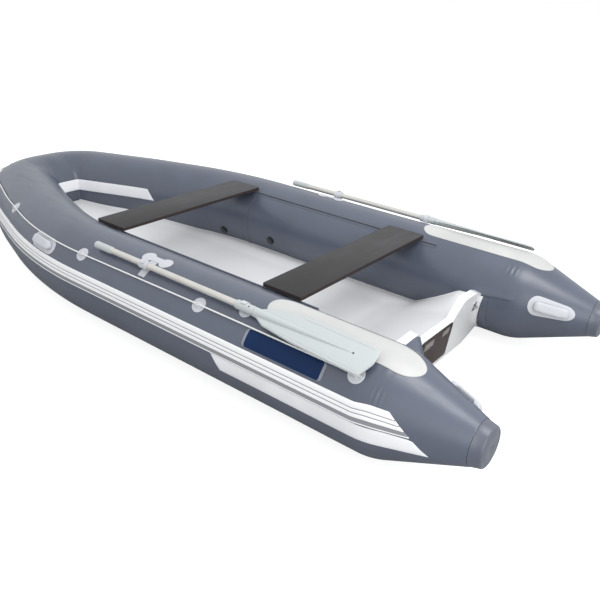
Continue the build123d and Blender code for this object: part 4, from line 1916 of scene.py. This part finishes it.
@dataclass
class GrabLines:
    """The laid ropes round the collar and the bosses that hold them."""

    yard: Yard
    first: float = 0.085
    step: float = 0.775
    angles: tuple[float, ...] = (47.2, 47.0, 45.5, 45.0, 45.0)

    def angle(self, run: float) -> float:
        """Angle of the rope at a run.

        Args:
            run: The run.

        Returns:
            The angle from outboard in degrees.
        """
        place = min(len(self.angles) - 1.001, max(0.0, (run - self.first) / self.step))
        number = int(place)
        return self.angles[number] + (self.angles[number + 1] - self.angles[number]) * (place - number)

    def rope(self) -> Form:
        """The port rope.

        Returns:
            The mesh.
        """
        start, end = self.first - 0.025, self.first + self.step * (len(self.angles) - 1) + 0.025
        rows = []
        number = int((end - start) / 0.0022)
        for n in range(number + 1):
            run = start + (end - start) * n / number
            seat = COLLAR.seat(run, self.angle(run), GLUE + 0.0075)
            twist = run / 0.026 * math.tau
            row = []
            for k in range(15):
                turn = math.tau * k / 15
                reach = 0.0030 + 0.0006 * abs(math.cos(1.5 * turn)) ** 0.7
                row.append(seat @ Vector((0, reach * math.cos(turn + twist), reach * math.sin(turn + twist))))
            rows.append(row)
        return Form().skin(rows).outward()

    def holder(self, run: float) -> Form:
        """A patch and its boss.

        Args:
            run: Its place.

        Returns:
            The mesh.
        """
        disc = Form().plate(arc(0, 0, 0.033, 0, 352.5, 47), 0.002, 0.001, 2)
        disc.cut(0.008).cut(0.008, 1).lay_flat().wrap(run, self.angle(run))
        r = 0.011
        profile = [(0.0, 0.0005), (0.017, 0.0005), (0.0165, 0.0024), (0.0125, 0.0034), (r, 0.0055)]
        profile += [(r, 0.010)] + arc(r - 0.004, 0.010, 0.004, 0, 90, 4)[1:]
        profile += [(0.003, 0.0140), (0.0, 0.0134)]
        boss = Form().turn(profile, 28).seat(COLLAR.seat(run, self.angle(run), GLUE + 0.0008))
        return disc.join(boss)

    def build(self) -> None:
        """Makes the pieces."""
        rope = self.rope()
        for side in Side:
            s = side.value
            self.yard.launch(rope.copy().on(side), f"grab_line_{s}", Slot.ROPE, [f"lifeline_{s}"], sharp=70)
        holders = Form()
        for n in range(len(self.angles)):
            holders.join(self.holder(self.first + self.step * n))
        self.yard.launch(holders.both(), "rope_holders", Slot.FITTING, ["rope_patches"], sharp=38)


@dataclass
class Handles:
    """Carry handles: round-ended pads and thick moulded grips."""

    yard: Yard
    places: tuple[tuple[float, float, tuple[Side, ...]], ...] = (
        (0.471, 35.8, (Side.PORT, Side.STARBOARD)), (-1.652, 160.0, (Side.PORT,)),
        (-1.629, 163.0, (Side.STARBOARD,)))

    def grip(self) -> Form:
        """A moulded grip, flat on its pad.

        Returns:
            The mesh.
        """
        height, room, foot, reach, half = 0.0255, 0.011, 0.028, 0.082, 0.0225
        rows = []
        for n in range(49):
            x = reach * math.sin(math.pi * (n / 48 - 0.5))
            past = max(0.0, abs(x) - reach + half) / half
            shrink = math.sqrt(max(0.0, 1 - past * past))
            rise = min(1.0, max(0.0, (reach - foot - abs(x)) / 0.014))
            low = room * rise * rise * (3 - 2 * rise)
            high = low + (height - low) * max(0.02, shrink) ** 0.7
            wide = half * max(0.03, shrink)
            turns = [math.tau * k / 32 for k in range(32)]
            middle, tall = (low + high) / 2, (high - low) / 2
            rows.append([Vector((x, wide * blunt(math.cos(t)), middle + tall * blunt(math.sin(t))))
                         for t in turns])
        return Form().skin(rows).outward()

    def build(self) -> None:
        """Makes the pieces."""
        pads, grips = Form(), Form()
        for x, angle, sides in self.places:
            run = COLLAR.run_at(x)
            pad = Form().plate(stadium(0.200, 0.082, 14), 0.003, 0.0016, 3)
            pad.cut(0.014).cut(0.014, 1).lay_flat().wrap(run, angle)
            grip = self.grip().seat(COLLAR.seat(run, angle, 0.0036))
            for side in sides:
                pads.join(pad.copy().on(side))
                grips.join(grip.copy().on(side))
        self.yard.launch(pads, "handle_pad_forms", Slot.FITTING, ["handle_pads"], sharp=45)
        self.yard.launch(grips, "handle_grip_forms", Slot.FITTING, ["handle_grips"], sharp=45)


@dataclass
class Studio:
    """Camera, lamps, backdrop and floor."""

    position: Color = (-2.4047, 2.4622, 1.6449)
    heading: float = -52.728
    pitch: float = 26.226
    roll: float = 2.927
    lens: float = 40.59

    def camera(self) -> None:
        """Sets up the camera."""
        a, e, r = (math.radians(v) for v in (self.heading, self.pitch, self.roll))
        ahead = Vector((math.cos(e) * math.cos(a), math.cos(e) * math.sin(a), -math.sin(e)))
        right = ahead.cross(Vector((0, 0, 1))).normalized()
        up = right.cross(ahead)
        right, up = right * math.cos(r) + up * math.sin(r), up * math.cos(r) - right * math.sin(r)
        data = bpy.data.cameras.new("camera")
        data.lens = self.lens
        data.sensor_width = 36.0
        data.clip_end = 100.0
        camera = bpy.data.objects.new("camera", data)
        rows = zip(right, up, -ahead, self.position)
        camera.matrix_world = Matrix([*(tuple(row) for row in rows), (0, 0, 0, 1)])
        bpy.context.scene.collection.objects.link(camera)
        bpy.context.scene.camera = camera

    def lamp(self, name: str, place: Color, target: Color, size: float, power: float) -> None:
        """Adds a soft lamp.

        Args:
            name: Its name.
            place: Where it stands.
            target: Where it points.
            size: Its size.
            power: Its power in watts.
        """
        data = bpy.data.lights.new(name, "AREA")
        data.shape = "DISK"
        data.size = size
        data.energy = power
        lamp = bpy.data.objects.new(name, data)
        lamp.location = place
        lamp.rotation_euler = (Vector(target) - Vector(place)).to_track_quat("-Z", "Y").to_euler()
        bpy.context.scene.collection.objects.link(lamp)

    def world(self) -> None:
        """A plain pale surround that the camera sees as white."""
        world = bpy.data.worlds.new("surround")
        world.use_nodes = True
        bpy.context.scene.world = world
        tree = world.node_tree
        tree.nodes.clear()
        path = tree.nodes.new("ShaderNodeLightPath")
        soft = tree.nodes.new("ShaderNodeBackground")
        soft.inputs["Color"].default_value = (0.96, 0.98, 1.0, 1.0)
        soft.inputs["Strength"].default_value = 1.00
        white = tree.nodes.new("ShaderNodeBackground")
        white.inputs["Color"].default_value = (1.0, 1.0, 1.0, 1.0)
        white.inputs["Strength"].default_value = 1.0
        blend = tree.nodes.new("ShaderNodeMixShader")
        output = tree.nodes.new("ShaderNodeOutputWorld")
        tree.links.new(path.outputs["Is Camera Ray"], blend.inputs[0])
        tree.links.new(soft.outputs[0], blend.inputs[1])
        tree.links.new(white.outputs[0], blend.inputs[2])
        tree.links.new(blend.outputs[0], output.inputs["Surface"])

    def floor(self) -> None:
        """A pale floor at the waterline."""
        mesh = bpy.data.meshes.new("floor")
        bm = bmesh.new()
        bmesh.ops.create_grid(bm, x_segments=1, y_segments=1, size=40.0)
        bm.to_mesh(mesh)
        bm.free()
        floor = bpy.data.objects.new("floor", mesh)
        bpy.context.scene.collection.objects.link(floor)
        paint = Paint("floor")
        diffuse = paint.node("ShaderNodeBsdfDiffuse", {"Color": (0.45, 0.45, 0.45)})
        glow = paint.node("ShaderNodeEmission", {"Color": (1.0, 1.0, 1.0), "Strength": 0.82})
        path = paint.node("ShaderNodeLightPath", output="Is Camera Ray")
        none = paint.node("ShaderNodeEmission", {"Color": (0.0, 0.0, 0.0), "Strength": 0.0})
        seen = paint.node("ShaderNodeMixShader", {0: path, 1: none, 2: glow})
        paint.node_output(paint.node("ShaderNodeAddShader", {0: diffuse, 1: seen}))
        mesh.materials.append(paint.material)

    def build(self) -> None:
        """Sets the stage."""
        self.camera()
        self.world()
        self.floor()
        self.lamp("overhead", (-2.1, 0.0, 3.0), (-1.0, 0.0, 0.2), 1.6, 36.0)
        self.lamp("camera_side", (-4.6, 2.4, 1.5), (-0.8, 0.1, 0.2), 4.0, 66.0)


WHITE_RUBBER = (0.88, 0.88, 0.88)
# Grey painted into the strake's recesses: painted shade in the two thin grooves, and a grey band in the wide
# lower recess.
GROOVE_SHADE_AND_BAND_GREY = (0.26, 0.27, 0.29)


def girth(angle: float) -> float:
    """Pattern height of an angle on the strake.

    Args:
        angle: Degrees from outboard.

    Returns:
        The height in metres.
    """
    return math.radians(angle) * TUBE_R


FINISHES = {
    Slot.FABRIC: CoatedFabric((0.089, 0.103, 0.141), 0.36, gloss=0.66),
    Slot.CAP: CoatedFabric((0.098, 0.108, 0.140), 0.36, 0.0002, 0.66),
    Slot.GELCOAT: Gelcoat(),
    # The two thin grey stripes are painted groove shade; the wide grey stripe fills the recessed lower band.
    Slot.STRAKE: RibbedRubber(WHITE_RUBBER, (
        Stripe(girth(17.6), girth(18.4), GROOVE_SHADE_AND_BAND_GREY), Stripe(girth(13.7), girth(14.5), GROOVE_SHADE_AND_BAND_GREY),
        Stripe(girth(6.2), girth(10.2), GROOVE_SHADE_AND_BAND_GREY))),
    Slot.WHITE: CoatedFabric((0.88, 0.88, 0.90), 0.40),
    Slot.BLUE: CoatedFabric((0.005, 0.022, 0.078), 0.45, gloss=0.15),
    "clear_film": CoatedFabric((0.24, 0.25, 0.29), 0.28),
    Slot.PAD: CoatedFabric((0.56, 0.56, 0.545), 0.50, 0.0003),
    Slot.BENCH: FilmPly(),
    "ply_edge": PlyEdge(),
    Slot.SHOE: Plastic((0.028, 0.028, 0.030)),
    Slot.TRACK: Plastic((0.105, 0.118, 0.148), 0.45),
    Slot.ALLOY: Alloy(),
    Slot.OAR: Plastic((0.50, 0.53, 0.53)),
    Slot.FITTING: Plastic((0.56, 0.57, 0.60), 0.42),
    Slot.ROPE: Braid(),
    Slot.MOTOR_PAD: MotorPlate(),
    Slot.VALVE: Plastic((0.012, 0.012, 0.013), 0.36),
    Slot.STEEL: Steel(),
}


def main() -> None:
    """Builds the boat's looks and the stage."""
    logging.basicConfig(level=logging.INFO)
    yard = Yard(FINISHES)
    crews = (Tubes(yard), Tapes(yard), Strakes(yard), FabricWork(yard), LinerPan(yard), TransomBoard(yard),
             Benches(yard), Oars(yard), GrabLines(yard), Handles(yard), Studio())
    for crew in crews:
        crew.build()
        log.info("%s built", type(crew).__name__)
    yard.repaint()
    bpy.context.scene.view_settings.view_transform = "Standard"


if __name__ == "__main__":
    main()
